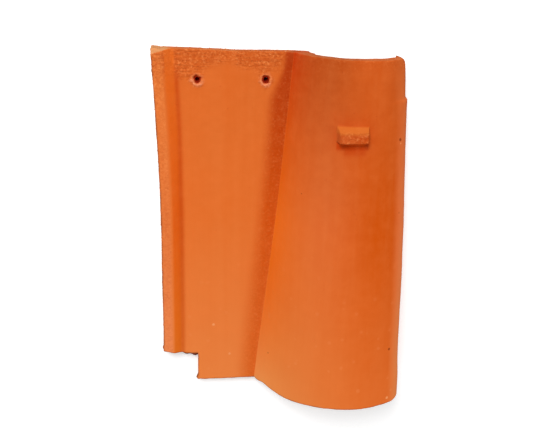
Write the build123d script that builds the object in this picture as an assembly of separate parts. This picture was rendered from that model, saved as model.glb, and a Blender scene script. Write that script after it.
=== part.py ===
from build123d import *
import math
import os

# One-piece tapered clay roof tile: a flat pan with a low side rib on the left
# and a tapered roll on the right, laid flat with the roll upwards.
# X runs across the tile (pan at -X, roll at +X), Y along it (tail at -Y,
# head at +Y), Z is up, and the pan's underside lies on Z = 0.

os.makedirs("parts", exist_ok=True)

# Overall sizes, millimetres
tile_length = 433.0
tail_width = 297.0
head_width = 287.0
left_edge_splay = 3.5
head_out_of_square = 5.5
wall = 13.0

# Extra depth under the pan and the roll's foot, trimmed off level with Z = 0
trim_allowance = 2.0

# Roll
tail_pan_width = 116.3
head_pan_width = 158.7
tail_roll_rise = 77.4
head_roll_rise = 43.0
tail_crown_share = 0.625
head_crown_share = 0.548
tail_shoulder_radius = 29.0
head_shoulder_radius = 20.0
roll_lap_clearance = 2.0
roll_foot_width = 16.5
roll_foot_height = 24.0
inner_foot_radius = 5.0
lip_chamfer = 2.0

# Side rib on the pan's outer edge
rib_height = 9.0
rib_top_width = 13.5
rib_foot_width = 23.5
rib_outer_radius = 2.5
rib_inner_radius = 3.0
rib_foot_radius = 11.0
rib_bevel_width = 18.5
rib_bevel_length = 6.5
rib_bevel_drop = 4.5

# Corner reliefs that let four tiles meet
notch_width = 43.0
notch_length = 40.0
notch_end_slant = 9.0
notch_slant_width = 28.0
notch_corner_radius = 3.0
set_back_start_depth = 2.4
set_back_head_depth = 4.4
set_back_length = 51.0
head_corner_radius = 7.0

# Nail holes
nail_hole_diameter = 6.0
nail_hole_spacing = 77.3
nail_hole_from_head = 34.3
nail_hole_from_left = 49.6
nail_crater_diameter = 11.0
nail_crater_depth = 1.6

# Stop lug on the roll's crown
lug_width = 36.0
lug_length = 18.5
lug_height = 8.0
lug_from_head = 75.5
lug_off_crown = 9.0
lug_head_run = 5.5
lug_tail_run = 1.0
lug_side_run = 2.0
lug_edge_radius = 1.2


class SectionSizes:
    """Sizes of the tile's cross-section at one end, measured from its left edge."""

    def __init__(self, width, pan_width, roll_rise, crown_share, shoulder_radius):
        self.width = width
        self.pan_width = pan_width
        self.roll_rise = roll_rise
        self.crown_run = crown_share * (width - pan_width)
        self.crown_radius = (self.crown_run**2 + roll_rise**2) / (2 * roll_rise)
        self.shoulder_radius = shoulder_radius

    def crown_x(self):
        """Distance of the roll's crown from the left edge."""
        return self.pan_width + self.crown_run

    def crown_centre_z(self):
        """Height of the centre of the crown's arc."""
        return wall + self.roll_rise - self.crown_radius

    def shoulder_centre(self):
        """Centre of the tight arc that turns the roll down to its lapping side."""
        x = self.width - self.shoulder_radius
        reach = self.crown_radius - self.shoulder_radius
        rise = math.sqrt(reach**2 - (x - self.crown_x()) ** 2)
        return x, self.crown_centre_z() + rise

    def turn_angle(self):
        """Angle at which the crown's arc passes into the shoulder's arc."""
        x, z = self.shoulder_centre()
        return math.atan2(z - self.crown_centre_z(), x - self.crown_x())

    def crown_point(self, radius, angle):
        """Point on an arc about the crown's centre."""
        x = self.crown_x() + radius * math.cos(angle)
        return x, self.crown_centre_z() + radius * math.sin(angle)

    def shoulder_point(self, radius, angle):
        """Point on an arc about the shoulder's centre."""
        x, z = self.shoulder_centre()
        return x + radius * math.cos(angle), z + radius * math.sin(angle)

    def foot_angle(self, radius, level):
        """Angle at which an arc about the crown's centre meets a level."""
        return math.pi - math.asin((level - self.crown_centre_z()) / radius)

    def inner_foot_x(self):
        """Distance from the left edge at which the roll's inside meets Z = 0."""
        return self.pan_width + roll_foot_width


def roll_section(sizes):
    """Wall of the roll at one end, drawn in X and Z from the tile's left edge.

    Its foot reaches below the pan's underside, where it is trimmed level later.
    """
    lip_level = wall + roll_lap_clearance
    foot_level = -trim_allowance
    inner_radius = sizes.crown_radius - wall
    turn = sizes.turn_angle()
    outer_foot = sizes.foot_angle(sizes.crown_radius, foot_level)
    foot_top = sizes.foot_angle(inner_radius, roll_foot_height)
    middle = (turn + math.pi / 2) / 2

    outer_arc = ThreePointArc(
        sizes.crown_point(sizes.crown_radius, outer_foot),
        sizes.crown_point(sizes.crown_radius, middle),
        sizes.crown_point(sizes.crown_radius, turn),
    )
    outer_shoulder = ThreePointArc(
        outer_arc @ 1,
        sizes.shoulder_point(sizes.shoulder_radius, turn / 2),
        sizes.shoulder_point(sizes.shoulder_radius, 0),
    )
    lip = Polyline(
        outer_shoulder @ 1,
        (sizes.width, lip_level + lip_chamfer),
        (sizes.width - lip_chamfer, lip_level),
        (sizes.width - wall + lip_chamfer, lip_level),
        (sizes.width - wall, lip_level + lip_chamfer),
        sizes.shoulder_point(sizes.shoulder_radius - wall, 0),
    )
    inner_shoulder = ThreePointArc(
        lip @ 1,
        sizes.shoulder_point(sizes.shoulder_radius - wall, turn / 2),
        sizes.crown_point(inner_radius, turn),
    )
    inner_arc = ThreePointArc(
        inner_shoulder @ 1,
        sizes.crown_point(inner_radius, middle),
        sizes.crown_point(inner_radius, foot_top),
    )
    foot_top_x = sizes.crown_point(inner_radius, foot_top)[0]
    lean = (foot_top_x - sizes.inner_foot_x()) / roll_foot_height
    foot = Polyline(
        inner_arc @ 1,
        (sizes.inner_foot_x() + lean * foot_level, foot_level),
        outer_arc @ 0,
    )
    edges = Curve() + [outer_arc, outer_shoulder, lip, inner_shoulder, inner_arc, foot]
    return make_face(edges.edges()).face()


def across(left_x, y):
    """Upright plane across the tile, from its left edge at a distance along it."""
    return Plane(origin=(left_x, y, 0), x_dir=(1, 0, 0), z_dir=(0, -1, 0))


def between(tail_value, head_value, y):
    """Value at a place along the tile, on the straight run from tail to head."""
    share = (y - tail_y) / tile_length
    return tail_value + (head_value - tail_value) * share


# The box around the tile is centred on the origin in X and Y.
tail_y = -tile_length / 2
head_y = tile_length / 2
head_left_x = -(tail_width + left_edge_splay) / 2
tail_left_x = head_left_x + left_edge_splay
tile_height = wall + tail_roll_rise

tail_sizes = SectionSizes(
    tail_width, tail_pan_width, tail_roll_rise, tail_crown_share, tail_shoulder_radius
)
head_sizes = SectionSizes(
    head_width, head_pan_width, head_roll_rise, head_crown_share, head_shoulder_radius
)


def tapered_roll():
    """Roll, lofted straight from the tail's section to the head's."""
    sections = [
        across(tail_left_x, tail_y) * roll_section(tail_sizes),
        across(head_left_x, head_y) * roll_section(head_sizes),
    ]
    return loft(sections, ruled=True)


def pan():
    """Flat pan, from the left edge to just inside the roll's foot."""
    inside = wall / 3
    outline = Polyline(
        (tail_left_x, tail_y),
        (tail_left_x + tail_pan_width + inside, tail_y),
        (head_left_x + head_pan_width + inside, head_y),
        (head_left_x, head_y),
        close=True,
    )
    return Pos(0, 0, -trim_allowance) * extrude(
        make_face(outline), amount=wall + trim_allowance
    )


def side_rib():
    """Low rib along the pan's left edge, with a soft hollow at its foot."""
    rib_top = wall + rib_height
    sunk = wall / 2
    slope_run = rib_foot_width - rib_top_width
    profile = make_face(
        Polyline(
            (0, sunk),
            (rib_foot_width + slope_run, sunk),
            (rib_foot_width + slope_run, wall),
            (rib_foot_width, wall),
            (rib_top_width, rib_top),
            (0, rib_top),
            close=True,
        )
    ).face()
    rounded_corners = (
        (0, rib_top, rib_outer_radius),
        (rib_top_width, rib_top, rib_inner_radius),
        (rib_foot_width, wall, rib_foot_radius),
    )
    for x, z, radius in rounded_corners:
        corner = profile.vertices().sort_by_distance((x, z, 0))[0]
        profile = profile.fillet_2d(radius, [corner])
    lean = math.degrees(math.atan(left_edge_splay / tile_length))
    run_on = rib_foot_width
    bar = extrude(across(0, -run_on) * profile, amount=-(tile_length + 2 * run_on))
    return Location((tail_left_x, tail_y, 0), (0, 0, lean)) * bar


def softened(solid):
    """Round the roll's inner foot, where the underside turns up into the roll."""
    foot_x = between(
        tail_left_x + tail_sizes.inner_foot_x(), head_left_x + head_sizes.inner_foot_x(), 0
    )
    foot = solid.edges().sort_by_distance((foot_x, 0, 0))[0]
    return solid.fillet(inner_foot_radius, [foot])


def tile_block():
    """Box as long as the tile, which squares off what runs past its ends."""
    width = 2 * tail_width
    return Box(width, tile_length, tile_height, align=(Align.CENTER, Align.CENTER, Align.MIN))


def head_trim():
    """All that is cut off past the head's edge and beside its lapping side.

    The head's edge stands slightly out of square, the lapping side is set back
    near the head, and the corner between them is rounded.
    """
    over = head_out_of_square + set_back_head_depth
    start_y = head_y - set_back_length
    start_x = between(tail_left_x + tail_width, head_left_x + head_width, start_y)
    corner_x = head_left_x + head_width - set_back_head_depth
    out_of_square = head_out_of_square / (-2 * head_left_x)
    corner_y = head_y - out_of_square * (corner_x - head_left_x)
    outline = Polyline(
        (head_left_x, head_y),
        (corner_x, corner_y),
        (start_x - set_back_start_depth, start_y),
        (start_x + over, start_y),
        (start_x + over, head_y + over),
        (head_left_x, head_y + over),
        close=True,
    )
    face = make_face(outline).face()
    corner = face.vertices().sort_by_distance((corner_x, corner_y, 0))[0]
    face = face.fillet_2d(head_corner_radius, [corner])
    return extrude(face, amount=tile_height)


def rib_bevel():
    """Wedge sliced off the top of the rib's corner at the head."""
    rib_top = wall + rib_height
    on_head = Vector(head_left_x + rib_bevel_width, head_y, rib_top)
    on_side = Vector(head_left_x, head_y - rib_bevel_length, rib_top)
    corner = Vector(head_left_x, head_y, rib_top - rib_bevel_drop)
    outward = (corner - on_head).cross(on_side - on_head)
    reach = 3 * rib_bevel_width
    block = Box(reach, reach, reach, align=(Align.CENTER, Align.CENTER, Align.MIN))
    return Plane(origin=on_head, x_dir=on_side - on_head, z_dir=outward) * block


def tail_notch():
    """Corner taken out of the rib at the tail."""
    over = left_edge_splay + rib_height
    outline = Polyline(
        (-over, -over),
        (notch_width, -over),
        (notch_width, notch_length),
        (notch_slant_width, notch_length),
        (-over, notch_length + notch_end_slant * (1 + over / notch_slant_width)),
        close=True,
    )
    face = make_face(outline).face()
    corner = face.vertices().sort_by_distance((notch_width, notch_length, 0))[0]
    face = face.fillet_2d(notch_corner_radius, [corner])
    return Pos(tail_left_x, tail_y, 0) * extrude(face, amount=tile_height)


def nail_hole():
    """Round hole through the pan, with the shallow crater that punching leaves."""
    upright = (Align.CENTER, Align.CENTER, Align.MIN)
    shaft = Cylinder(nail_hole_diameter / 2, wall, align=upright)
    crater = Cone(
        nail_hole_diameter / 2, nail_crater_diameter / 2, nail_crater_depth, align=upright
    )
    return shaft + Pos(0, 0, wall - nail_crater_depth) * crater


def wedge_profile(length, first_run, second_run):
    """Side view of the lug: upright below the roll's surface, sloped above it."""
    root = wall / 2
    return make_face(
        Polyline(
            (-length / 2, -root),
            (length / 2, -root),
            (length / 2, 0),
            (length / 2 - second_run, lug_height),
            (-length / 2 + first_run, lug_height),
            (-length / 2, 0),
            close=True,
        )
    )


def stop_lug():
    """Wedge on the roll's crown that the next course stops against."""
    y = head_y - lug_from_head - lug_length / 2
    crown_z = wall + between(tail_roll_rise, head_roll_rise, y)
    crown_x = between(
        tail_left_x + tail_sizes.crown_x(), head_left_x + head_sizes.crown_x(), y
    )
    fall = math.degrees(math.atan((tail_roll_rise - head_roll_rise) / tile_length))
    along = Plane(origin=(-lug_width / 2, 0, 0), x_dir=(0, 1, 0), z_dir=(1, 0, 0))
    side_view = along * wedge_profile(lug_length, lug_tail_run, lug_head_run)
    end_view = across(0, lug_length / 2) * wedge_profile(
        lug_width, lug_side_run, lug_side_run
    )
    wedge = extrude(side_view, amount=lug_width) & extrude(end_view, amount=lug_length)
    rim = wedge.edges().filter_by(lambda edge: edge.center().Z > lug_height / 4)
    seat = Location((crown_x - lug_off_crown, y, crown_z), (-fall, 0, 0))
    return seat * fillet(rim, lug_edge_radius)


nail_y = head_y - nail_hole_from_head
first_nail_x = head_left_x + nail_hole_from_left

tile = softened(((tapered_roll() + pan() + side_rib()) & tile_block()).solid())
tile = tile - head_trim() - rib_bevel() - tail_notch()
for i in range(2):
    tile = tile - Pos(first_nail_x + i * nail_hole_spacing, nail_y, 0) * nail_hole()
tile = tile + stop_lug()
export_step(tile, "parts/roof_tile.step")
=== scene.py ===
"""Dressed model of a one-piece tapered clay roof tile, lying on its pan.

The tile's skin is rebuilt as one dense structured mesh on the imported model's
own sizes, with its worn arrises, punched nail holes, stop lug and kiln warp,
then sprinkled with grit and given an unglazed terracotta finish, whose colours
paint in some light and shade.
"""

import logging
import math
from dataclasses import dataclass, field
from enum import Enum

import bpy
import numpy as np
from mathutils import Matrix, Vector, noise


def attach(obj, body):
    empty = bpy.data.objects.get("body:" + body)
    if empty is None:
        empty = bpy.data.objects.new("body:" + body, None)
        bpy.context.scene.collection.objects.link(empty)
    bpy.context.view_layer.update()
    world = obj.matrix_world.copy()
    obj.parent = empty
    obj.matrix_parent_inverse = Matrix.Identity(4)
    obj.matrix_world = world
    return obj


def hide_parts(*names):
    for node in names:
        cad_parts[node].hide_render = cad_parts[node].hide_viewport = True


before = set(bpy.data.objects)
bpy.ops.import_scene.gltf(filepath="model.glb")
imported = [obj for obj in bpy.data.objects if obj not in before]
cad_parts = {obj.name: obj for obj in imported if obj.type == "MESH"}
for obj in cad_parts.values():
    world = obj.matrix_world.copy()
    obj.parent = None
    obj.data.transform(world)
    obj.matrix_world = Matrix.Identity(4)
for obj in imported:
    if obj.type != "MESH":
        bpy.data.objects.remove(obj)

NODE = "roof_tile"
BODY = "root"
PIECE = "fired_tile"
MM = 0.001
TINY = 1e-6
IMAGE_WIDTH = 560

Array = np.ndarray
Values = float | np.ndarray
Colour = tuple[float, float, float, float]

log = logging.getLogger(NODE)


def smooth_max(first: Values, second: Values, blend: float) -> Values:
    """Larger of two values, with the corner between them rounded over a blend length."""
    return 0.5 * (first + second + np.sqrt((first - second) ** 2 + blend**2))


def smooth_min(first: Values, second: Values, blend: float) -> Values:
    """Smaller of two values, with the corner between them rounded over a blend length."""
    return 0.5 * (first + second - np.sqrt((first - second) ** 2 + blend**2))


def smooth_step(value: Values) -> Values:
    """Ease from 0 to 1 as the value goes from 0 to 1."""
    held = np.clip(value, 0.0, 1.0)
    return held * held * (3.0 - 2.0 * held)


def swell(value: Values, centre: Values, spread: float) -> Values:
    """Bell-shaped rise to 1 at a centre."""
    return np.exp(-0.5 * ((value - centre) / spread) ** 2)


def unit(vectors: Array) -> Array:
    """Vectors scaled to length one along their last axis."""
    length = np.linalg.norm(vectors, axis=-1, keepdims=True)
    return vectors / np.maximum(length, TINY)


def nearest(values: Array, wanted: float) -> int:
    """Index of the value that is nearest to the one wanted."""
    return int(np.argmin(abs(values - wanted)))


def on_circle(x: float, z: float, radius: float, angle: Array) -> Array:
    """Places and heights at the given angles of a circle, one row each."""
    return np.stack([x + radius * np.cos(angle), z + radius * np.sin(angle)], 1)


def cloud(points: Array, wavelength: float, octaves: int = 2, offset: float = 0.0) -> Array:
    """Smooth noise at each point.

    Args:
        points: Positions in millimetres, one row each.
        wavelength: Size of the noise's largest lumps in millimetres.
        octaves: Number of finer layers added, each half as large and half as strong.
        offset: Shift that makes this noise differ from others.

    Returns:
        One value for each point, about -1 to 1.
    """
    flat = points.reshape(-1, 3) / wavelength + offset
    values = [noise.fractal(Vector(row), 1.0, 2.0, octaves) for row in flat]
    return np.array(values).reshape(points.shape[:-1])


def filled(stops: list[float], step: float) -> Array:
    """Rising values that hold every stop and are nowhere further apart than a step.

    Args:
        stops: Values that have to be there, in any order.
        step: Widest gap allowed between two values.

    Returns:
        The stops, with evenly spaced values between them.
    """
    ordered = sorted(set(round(stop, 4) for stop in stops))
    values = [ordered[0]]
    for low, high in zip(ordered, ordered[1:]):
        count = max(1, math.ceil((high - low) / step - TINY))
        values += [low + (high - low) * (i + 1) / count for i in range(count)]
    return np.array(values)


@dataclass(frozen=True)
class Swelling:
    """A bell-shaped change: how much it is, where its middle is and how wide it is."""

    amount: float
    centre: float
    spread: float

    def at(self, place: Values) -> Values:
        """How much of the change there is at each place."""
        return self.amount * swell(place, self.centre, self.spread)


@dataclass(frozen=True)
class Growth:
    """A change that grows from nothing at one place to its whole amount at another."""

    amount: float
    start: float
    end: float

    def at(self, place: Values) -> Values:
        """How much of the change there is at each place."""
        return self.amount * smooth_step((place - self.start) / (self.end - self.start))


@dataclass(frozen=True)
class EndSection:
    """Cross-section of the tile at one end, in millimetres from its left edge."""

    width: float
    pan_width: float
    roll_rise: float
    crown_share: float
    shoulder_radius: float


@dataclass(frozen=True)
class TileSizes:
    """Sizes of the tile in millimetres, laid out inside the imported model's box."""

    length: float = 433.0
    wall: float = 13.0
    left_edge_splay: float = 3.5
    head_out_of_square: float = 5.5
    tail: EndSection = EndSection(
        width=297.0, pan_width=116.3, roll_rise=77.4, crown_share=0.625, shoulder_radius=29.0
    )
    head: EndSection = EndSection(
        width=287.0, pan_width=158.7, roll_rise=43.0, crown_share=0.548, shoulder_radius=20.0
    )
    lap_clearance: float = 2.0
    roll_foot_width: float = 16.5
    roll_foot_height: float = 24.0
    rib_height: float = 9.0
    rib_top_width: float = 13.5
    rib_foot_width: float = 23.5
    rib_zone_width: float = 31.0
    rib_bevel_width: float = 18.5
    rib_bevel_length: float = 6.5
    rib_bevel_drop: float = 4.5
    notch_width: float = 43.0
    notch_length: float = 40.0
    notch_end_slant: float = 9.0
    notch_slant_width: float = 28.0
    set_back_start_depth: float = 2.4
    set_back_head_depth: float = 4.4
    set_back_length: float = 51.0
    head_corner_radius: float = 7.0
    nail_radius: float = 3.0
    nail_spacing: float = 77.3
    nail_from_head: float = 34.3
    nail_from_left: float = 49.6
    lug_width: float = 36.0
    lug_length: float = 18.5
    lug_height: float = 8.0
    lug_from_head: float = 75.5
    lug_off_crown: float = 9.0
    lug_head_run: float = 5.5
    lug_tail_run: float = 1.0
    lug_side_run: float = 2.0

    @property
    def tail_y(self) -> float:
        """Distance of the tail along the tile."""
        return -self.length / 2

    @property
    def head_y(self) -> float:
        """Distance of the head along the tile."""
        return self.length / 2

    @property
    def head_left(self) -> float:
        """Place of the head's left edge across the tile."""
        return -(self.tail.width + self.left_edge_splay) / 2

    @property
    def tail_left(self) -> float:
        """Place of the tail's left edge across the tile."""
        return self.head_left + self.left_edge_splay

    @property
    def nail_y(self) -> float:
        """Distance of the nail holes along the tile."""
        return self.head_y - self.nail_from_head

    @property
    def nail_places(self) -> tuple[float, float]:
        """Distances of the nail holes from the left edge."""
        return self.nail_from_left, self.nail_from_left + self.nail_spacing

    @property
    def nail_centres(self) -> list[tuple[float, float]]:
        """Places of the nail holes across and along the tile."""
        return [(self.head_left + place, self.nail_y) for place in self.nail_places]

    @property
    def lug_y(self) -> tuple[float, float]:
        """Tail side and head side of the lug's foot along the tile."""
        top = self.head_y - self.lug_from_head
        return top - self.lug_length, top

    @property
    def lug_x(self) -> float:
        """Place of the lug's middle across the tile."""
        return self.crown_x(sum(self.lug_y) / 2) - self.lug_off_crown

    def share(self, y: Values) -> Values:
        """Share of the way from the tail to the head."""
        return (y - self.tail_y) / self.length

    def between(self, at_tail: float, at_head: float, y: Values) -> Values:
        """Value on the straight run from tail to head."""
        return at_tail + (at_head - at_tail) * self.share(y)

    def crown_x(self, y: Values) -> Values:
        """Place of the roll's crown across the tile.

        Args:
            y: Distance along the tile.

        Returns:
            The place on the straight line between the crowns of the two ends.
        """
        places = []
        for left, end in ((self.tail_left, self.tail), (self.head_left, self.head)):
            roll_width = end.width - end.pan_width
            places.append(left + end.pan_width + end.crown_share * roll_width)
        return self.between(*places, y)


@dataclass
class SectionLines:
    """The lines that run along the tile, placed around each end's section.

    Every line has a place on the weathered face and one on the underside, at
    the tail and at the head. Between the ends it runs straight.
    """

    sizes: TileSizes
    step: float = 3.0
    flat_step: float = 2.0
    rib_slope_lines: tuple[float, ...] = tuple(np.arange(11.0, 29.0, 1.6))
    shoulder_step: float = 0.1
    side_step: float = 0.17
    fine: tuple[float, ...] = (0.0, 0.35, 0.8, 1.5, 2.6, 4.0)
    fine_reach: float = 0.6
    crease_fine: tuple[float, ...] = (0.0, 0.6, 1.4, 2.6)
    lug_foot_lines: tuple[float, ...] = (0.7, 0.0, -0.8)
    lug_top_lines: tuple[float, ...] = (0.8, 0.0, -0.9)
    patch_cells: int = 14
    patch_step: float = 1.0
    arc_length: float = 200.0
    arc_samples: int = 400
    rib_edge_blend: float = 1.4
    rib_foot_blend: float = 2.0
    crease_blend: float = 0.9
    crease_reach: float = 30.0
    crease_fade: float = 20.0
    inner_foot_blend: float = 2.5
    inner_foot_draw: float = 60.0
    inner_foot_ease: float = 0.2
    flat_x: Array = field(init=False)
    pan_share: Array = field(init=False)
    arc_share: Array = field(init=False)
    shoulder_share: Array = field(init=False)
    side_share: Array = field(init=False)
    nail_lines: list[int] = field(init=False)

    def __post_init__(self) -> None:
        """Choose the lines' places, with more of them where the shape is finer."""
        sizes = self.sizes
        rib = [*self.fine, *self.rib_slope_lines, sizes.rib_top_width, sizes.rib_zone_width]
        self.flat_x = filled(rib, self.flat_step)
        self.pan_share = self.pan_lines()
        self.arc_share = self.arc_lines()
        self.shoulder_share = filled([0.0, 1.0], self.shoulder_step)[1:]
        self.side_share = filled([0.0, 1.0], self.side_step)[1:]
        base = len(self.flat_x) - 1
        centres = [self.pan_fraction(place) for place in sizes.nail_places]
        self.nail_lines = [base + nearest(self.pan_share, centre) for centre in centres]

    def pan_fraction(self, x: float) -> float:
        """Share of the pan's run at the nail holes that a distance from the left takes.

        Args:
            x: Distance from the left edge.

        Returns:
            The share, from 0 at the end of the rib's zone to 1 at the crease.
        """
        sizes = self.sizes
        pan_width = sizes.between(sizes.tail.pan_width, sizes.head.pan_width, sizes.nail_y)
        return (x - sizes.rib_zone_width) / (pan_width - sizes.rib_zone_width)

    def pan_lines(self) -> Array:
        """Shares of the pan's run, even around each nail hole and finer at the crease.

        Returns:
            The shares, from 0 to 1.
        """
        run = self.sizes.head.pan_width - self.sizes.rib_zone_width
        half = self.patch_cells // 2
        offsets = [i * self.patch_step for i in range(-half, half + 1)]
        stops = [0.0, 1.0]
        stops += [self.pan_fraction(x + d) for x in self.sizes.nail_places for d in offsets]
        stops += [1.0 - d / run for d in self.crease_fine]
        stops = [stop for stop in stops if 0.0 <= stop <= 1.0]
        return filled(stops, self.step / run)

    def arc_lines(self) -> Array:
        """Shares of the crown's arc, finer at the crease and set on the lug's sides.

        Returns:
            The shares, without the first, which the pan has.
        """
        sizes = self.sizes
        share = np.linspace(0.0, 1.0, self.arc_samples)
        tail = self.arc(sizes.tail, share, 0.0)[:, 0] + sizes.tail_left
        head = self.arc(sizes.head, share, 0.0)[:, 0] + sizes.head_left
        x = sizes.between(tail, head, sum(sizes.lug_y) / 2)
        foot = sizes.lug_width / 2
        offsets = [foot + slip for slip in self.lug_foot_lines]
        offsets += [foot - sizes.lug_side_run + slip for slip in self.lug_top_lines]
        edges = [sizes.lug_x + side * offset for side in (-1, 1) for offset in offsets]
        stops = [0.0, 1.0, *[d / self.arc_length for d in self.crease_fine]]
        stops += [float(np.interp(edge, x, share)) for edge in edges]
        return filled(stops, self.step / self.arc_length)[1:]

    def crown(self, end: EndSection) -> tuple[float, float, float]:
        """Crown arc of an end.

        Args:
            end: The end's section.

        Returns:
            The arc's radius, and its centre's place and height.
        """
        run = end.crown_share * (end.width - end.pan_width)
        radius = (run**2 + end.roll_rise**2) / (2 * end.roll_rise)
        return radius, end.pan_width + run, self.sizes.wall + end.roll_rise - radius

    def shoulder(self, end: EndSection) -> tuple[float, float, float]:
        """Shoulder arc of an end, which meets the crown's arc without a kink.

        Args:
            end: The end's section.

        Returns:
            The arc centre's place and height, and the angle where the arc starts.
        """
        radius, crown_x, crown_z = self.crown(end)
        x = end.width - end.shoulder_radius
        rise = math.sqrt((radius - end.shoulder_radius) ** 2 - (x - crown_x) ** 2)
        return x, crown_z + rise, math.atan2(rise, x - crown_x)

    def arc(self, end: EndSection, share: Array, inset: float) -> Array:
        """Points on an end's crown arc, inset into the wall.

        Args:
            end: The end's section.
            share: Shares of the way from the roll's foot to its shoulder.
            inset: Depth below the weathered face.

        Returns:
            One row of place and height for each share.
        """
        radius, crown_x, crown_z = self.crown(end)
        radius -= inset
        turn = self.shoulder(end)[2]
        foot = math.pi - math.asin((self.sizes.wall - inset - crown_z) / radius)
        return on_circle(crown_x, crown_z, radius, foot + (turn - foot) * share)

    def crown_level(self, end: EndSection, x: Array, inset: float) -> Array:
        """Height of an end's crown arc at places left of the crown.

        Args:
            end: The end's section.
            x: Distances from the left edge.
            inset: Depth below the weathered face.

        Returns:
            One height for each place, level where the arc doesn't reach.
        """
        radius, crown_x, crown_z = self.crown(end)
        radius -= inset
        reach = np.clip(crown_x - x, 0.0, radius - 1.0)
        return crown_z + np.sqrt(radius**2 - reach**2)

    def rib_level(self, x: Array) -> Array:
        """Height of the weathered face from the left edge to the end of the rib's foot.

        Args:
            x: Distances from the left edge.

        Returns:
            One height for each place.
        """
        sizes = self.sizes
        top = sizes.wall + sizes.rib_height
        fall = sizes.rib_height / (sizes.rib_foot_width - sizes.rib_top_width)
        slope = top - (x - sizes.rib_top_width) * fall
        return smooth_max(smooth_min(top, slope, self.rib_edge_blend), sizes.wall, self.rib_foot_blend)

    def face(self, end: EndSection, inset: float) -> Array:
        """All of an end's points, on the weathered face or the underside.

        Args:
            end: The end's section.
            inset: Depth below the weathered face.

        Returns:
            One row of place and height for each line, from the left edge to the lip.
        """
        rib_z = np.zeros_like(self.flat_x) if inset else self.rib_level(self.flat_x)
        rib = np.stack([self.flat_x, rib_z], 1)
        pan, arc = self.pan_and_arc(end, inset)
        shoulder, side = self.shoulder_and_side(end, inset)
        return np.concatenate([rib, pan, arc, shoulder, side])

    def pan_and_arc(self, end: EndSection, inset: float) -> tuple[Array, Array]:
        """Points of an end's pan and crown arc, with the corner between them rounded.

        Args:
            end: The end's section.
            inset: Depth below the weathered face.

        Returns:
            One row of place and height for each line of the pan, and of the arc.
        """
        sizes = self.sizes
        level = sizes.wall - inset
        arc = self.arc(end, self.arc_share, inset)
        foot_x = self.arc(end, np.zeros(1), inset)[0, 0]
        pan_x = sizes.rib_zone_width + (foot_x - sizes.rib_zone_width) * self.pan_share[1:]
        pan = np.stack([pan_x, np.full_like(pan_x, level)], 1)
        blend = self.inner_foot_blend if inset else self.crease_blend
        for points in (pan, arc):
            past_foot = points[:, 0] - foot_x
            crown = self.crown_level(end, points[:, 0], inset)
            lift = smooth_max(crown, level, blend) - np.maximum(crown, level)
            fade = smooth_step((self.crease_reach - past_foot) / self.crease_fade)
            points[:, 1] += lift * fade * (abs(past_foot) < self.crease_reach)
        if inset:
            self.thicken_foot(end, foot_x, pan, arc)
        return pan, arc

    def thicken_foot(self, end: EndSection, foot_x: float, pan: Array, arc: Array) -> None:
        """Move the roll's inside at its foot out to the foot's full thickness.

        Args:
            end: The end's section.
            foot_x: Where the inner arc alone would meet the underside.
            pan: The underside's points up to the foot.
            arc: The inner arc's points.
        """
        sizes = self.sizes
        radius, crown_x, crown_z = self.crown(end)
        reach = math.sqrt((radius - sizes.wall) ** 2 - (sizes.roll_foot_height - crown_z) ** 2)
        top_x = crown_x - reach
        bottom_x = end.pan_width + sizes.roll_foot_width
        drawn = np.clip(1.0 + (pan[:, 0] - foot_x) / self.inner_foot_draw, 0.0, None)
        pan[:, 0] += drawn * (bottom_x - foot_x)
        low = arc[:, 1] < sizes.roll_foot_height
        height = np.clip(arc[low, 1] / sizes.roll_foot_height, 0.0, 1.0)
        upright = bottom_x + (top_x - bottom_x) * height
        ease = smooth_step((1.0 - height) / self.inner_foot_ease)
        arc[low, 0] = np.maximum(arc[low, 0], upright) * ease + arc[low, 0] * (1.0 - ease)

    def shoulder_and_side(self, end: EndSection, inset: float) -> tuple[Array, Array]:
        """Points of an end's shoulder and lapping side.

        Args:
            end: The end's section.
            inset: Depth below the weathered face.

        Returns:
            One row of place and height for each line of the shoulder, and of the side.
        """
        x, z, turn = self.shoulder(end)
        angle = turn * (1.0 - self.shoulder_share)
        shoulder = on_circle(x, z, end.shoulder_radius - inset, angle)
        lip = self.sizes.wall + self.sizes.lap_clearance
        side_z = z + (lip - z) * self.side_share
        side_z[-len(self.fine) :] = self.lip_heights(z, lip)
        side = np.stack([np.full_like(side_z, end.width - inset), side_z], 1)
        return shoulder, side

    def lip_heights(self, top: float, lip: float) -> Array:
        """Heights of the last lines above the lip, close together near its edge."""
        reach = min(self.fine[-1], self.fine_reach * (top - lip))
        return lip + np.array(self.fine[::-1]) * reach / self.fine[-1]


@dataclass(frozen=True)
class ArrisWear:
    """How the tile's outer edges are worn, in millimetres."""

    least: float = 0.5
    spread: float = 0.8
    patch: float = 9.0
    patch_offset: float = 3.1
    chip: float = 1.8
    chip_patch: float = 15.0
    chip_offset: float = 11.7
    chip_level: float = 0.34
    chip_edge: float = 0.25
    lip: float = 1.8

    def radius(self, points: Array) -> Array:
        """Radius of the worn edge.

        Args:
            points: Points of the weathered face.

        Returns:
            One radius for each point.
        """
        uneven = np.clip(0.5 + cloud(points, self.patch, 2, self.patch_offset), 0.0, 1.0)
        broken = cloud(points, self.chip_patch, 2, self.chip_offset) - self.chip_level
        return self.least + self.spread * uneven + self.chip * smooth_step(broken / self.chip_edge)


@dataclass(frozen=True)
class Spur:
    """A crumb of clay left standing on an edge, in millimetres."""

    place: tuple[float, float, float]
    push: tuple[float, float, float]
    reach: float
    # How much painted shade darkens the crumb.
    soot: float = 0.0

    def share(self, points: Array) -> Array:
        """How much of the spur each point takes."""
        distance = np.linalg.norm(points - np.array(self.place), axis=-1)
        return smooth_step(1.0 - distance / self.reach)

    def shift(self, points: Array) -> Array:
        """How far each point is pushed out by the spur."""
        return self.share(points)[..., None] * np.array(self.push)


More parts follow.
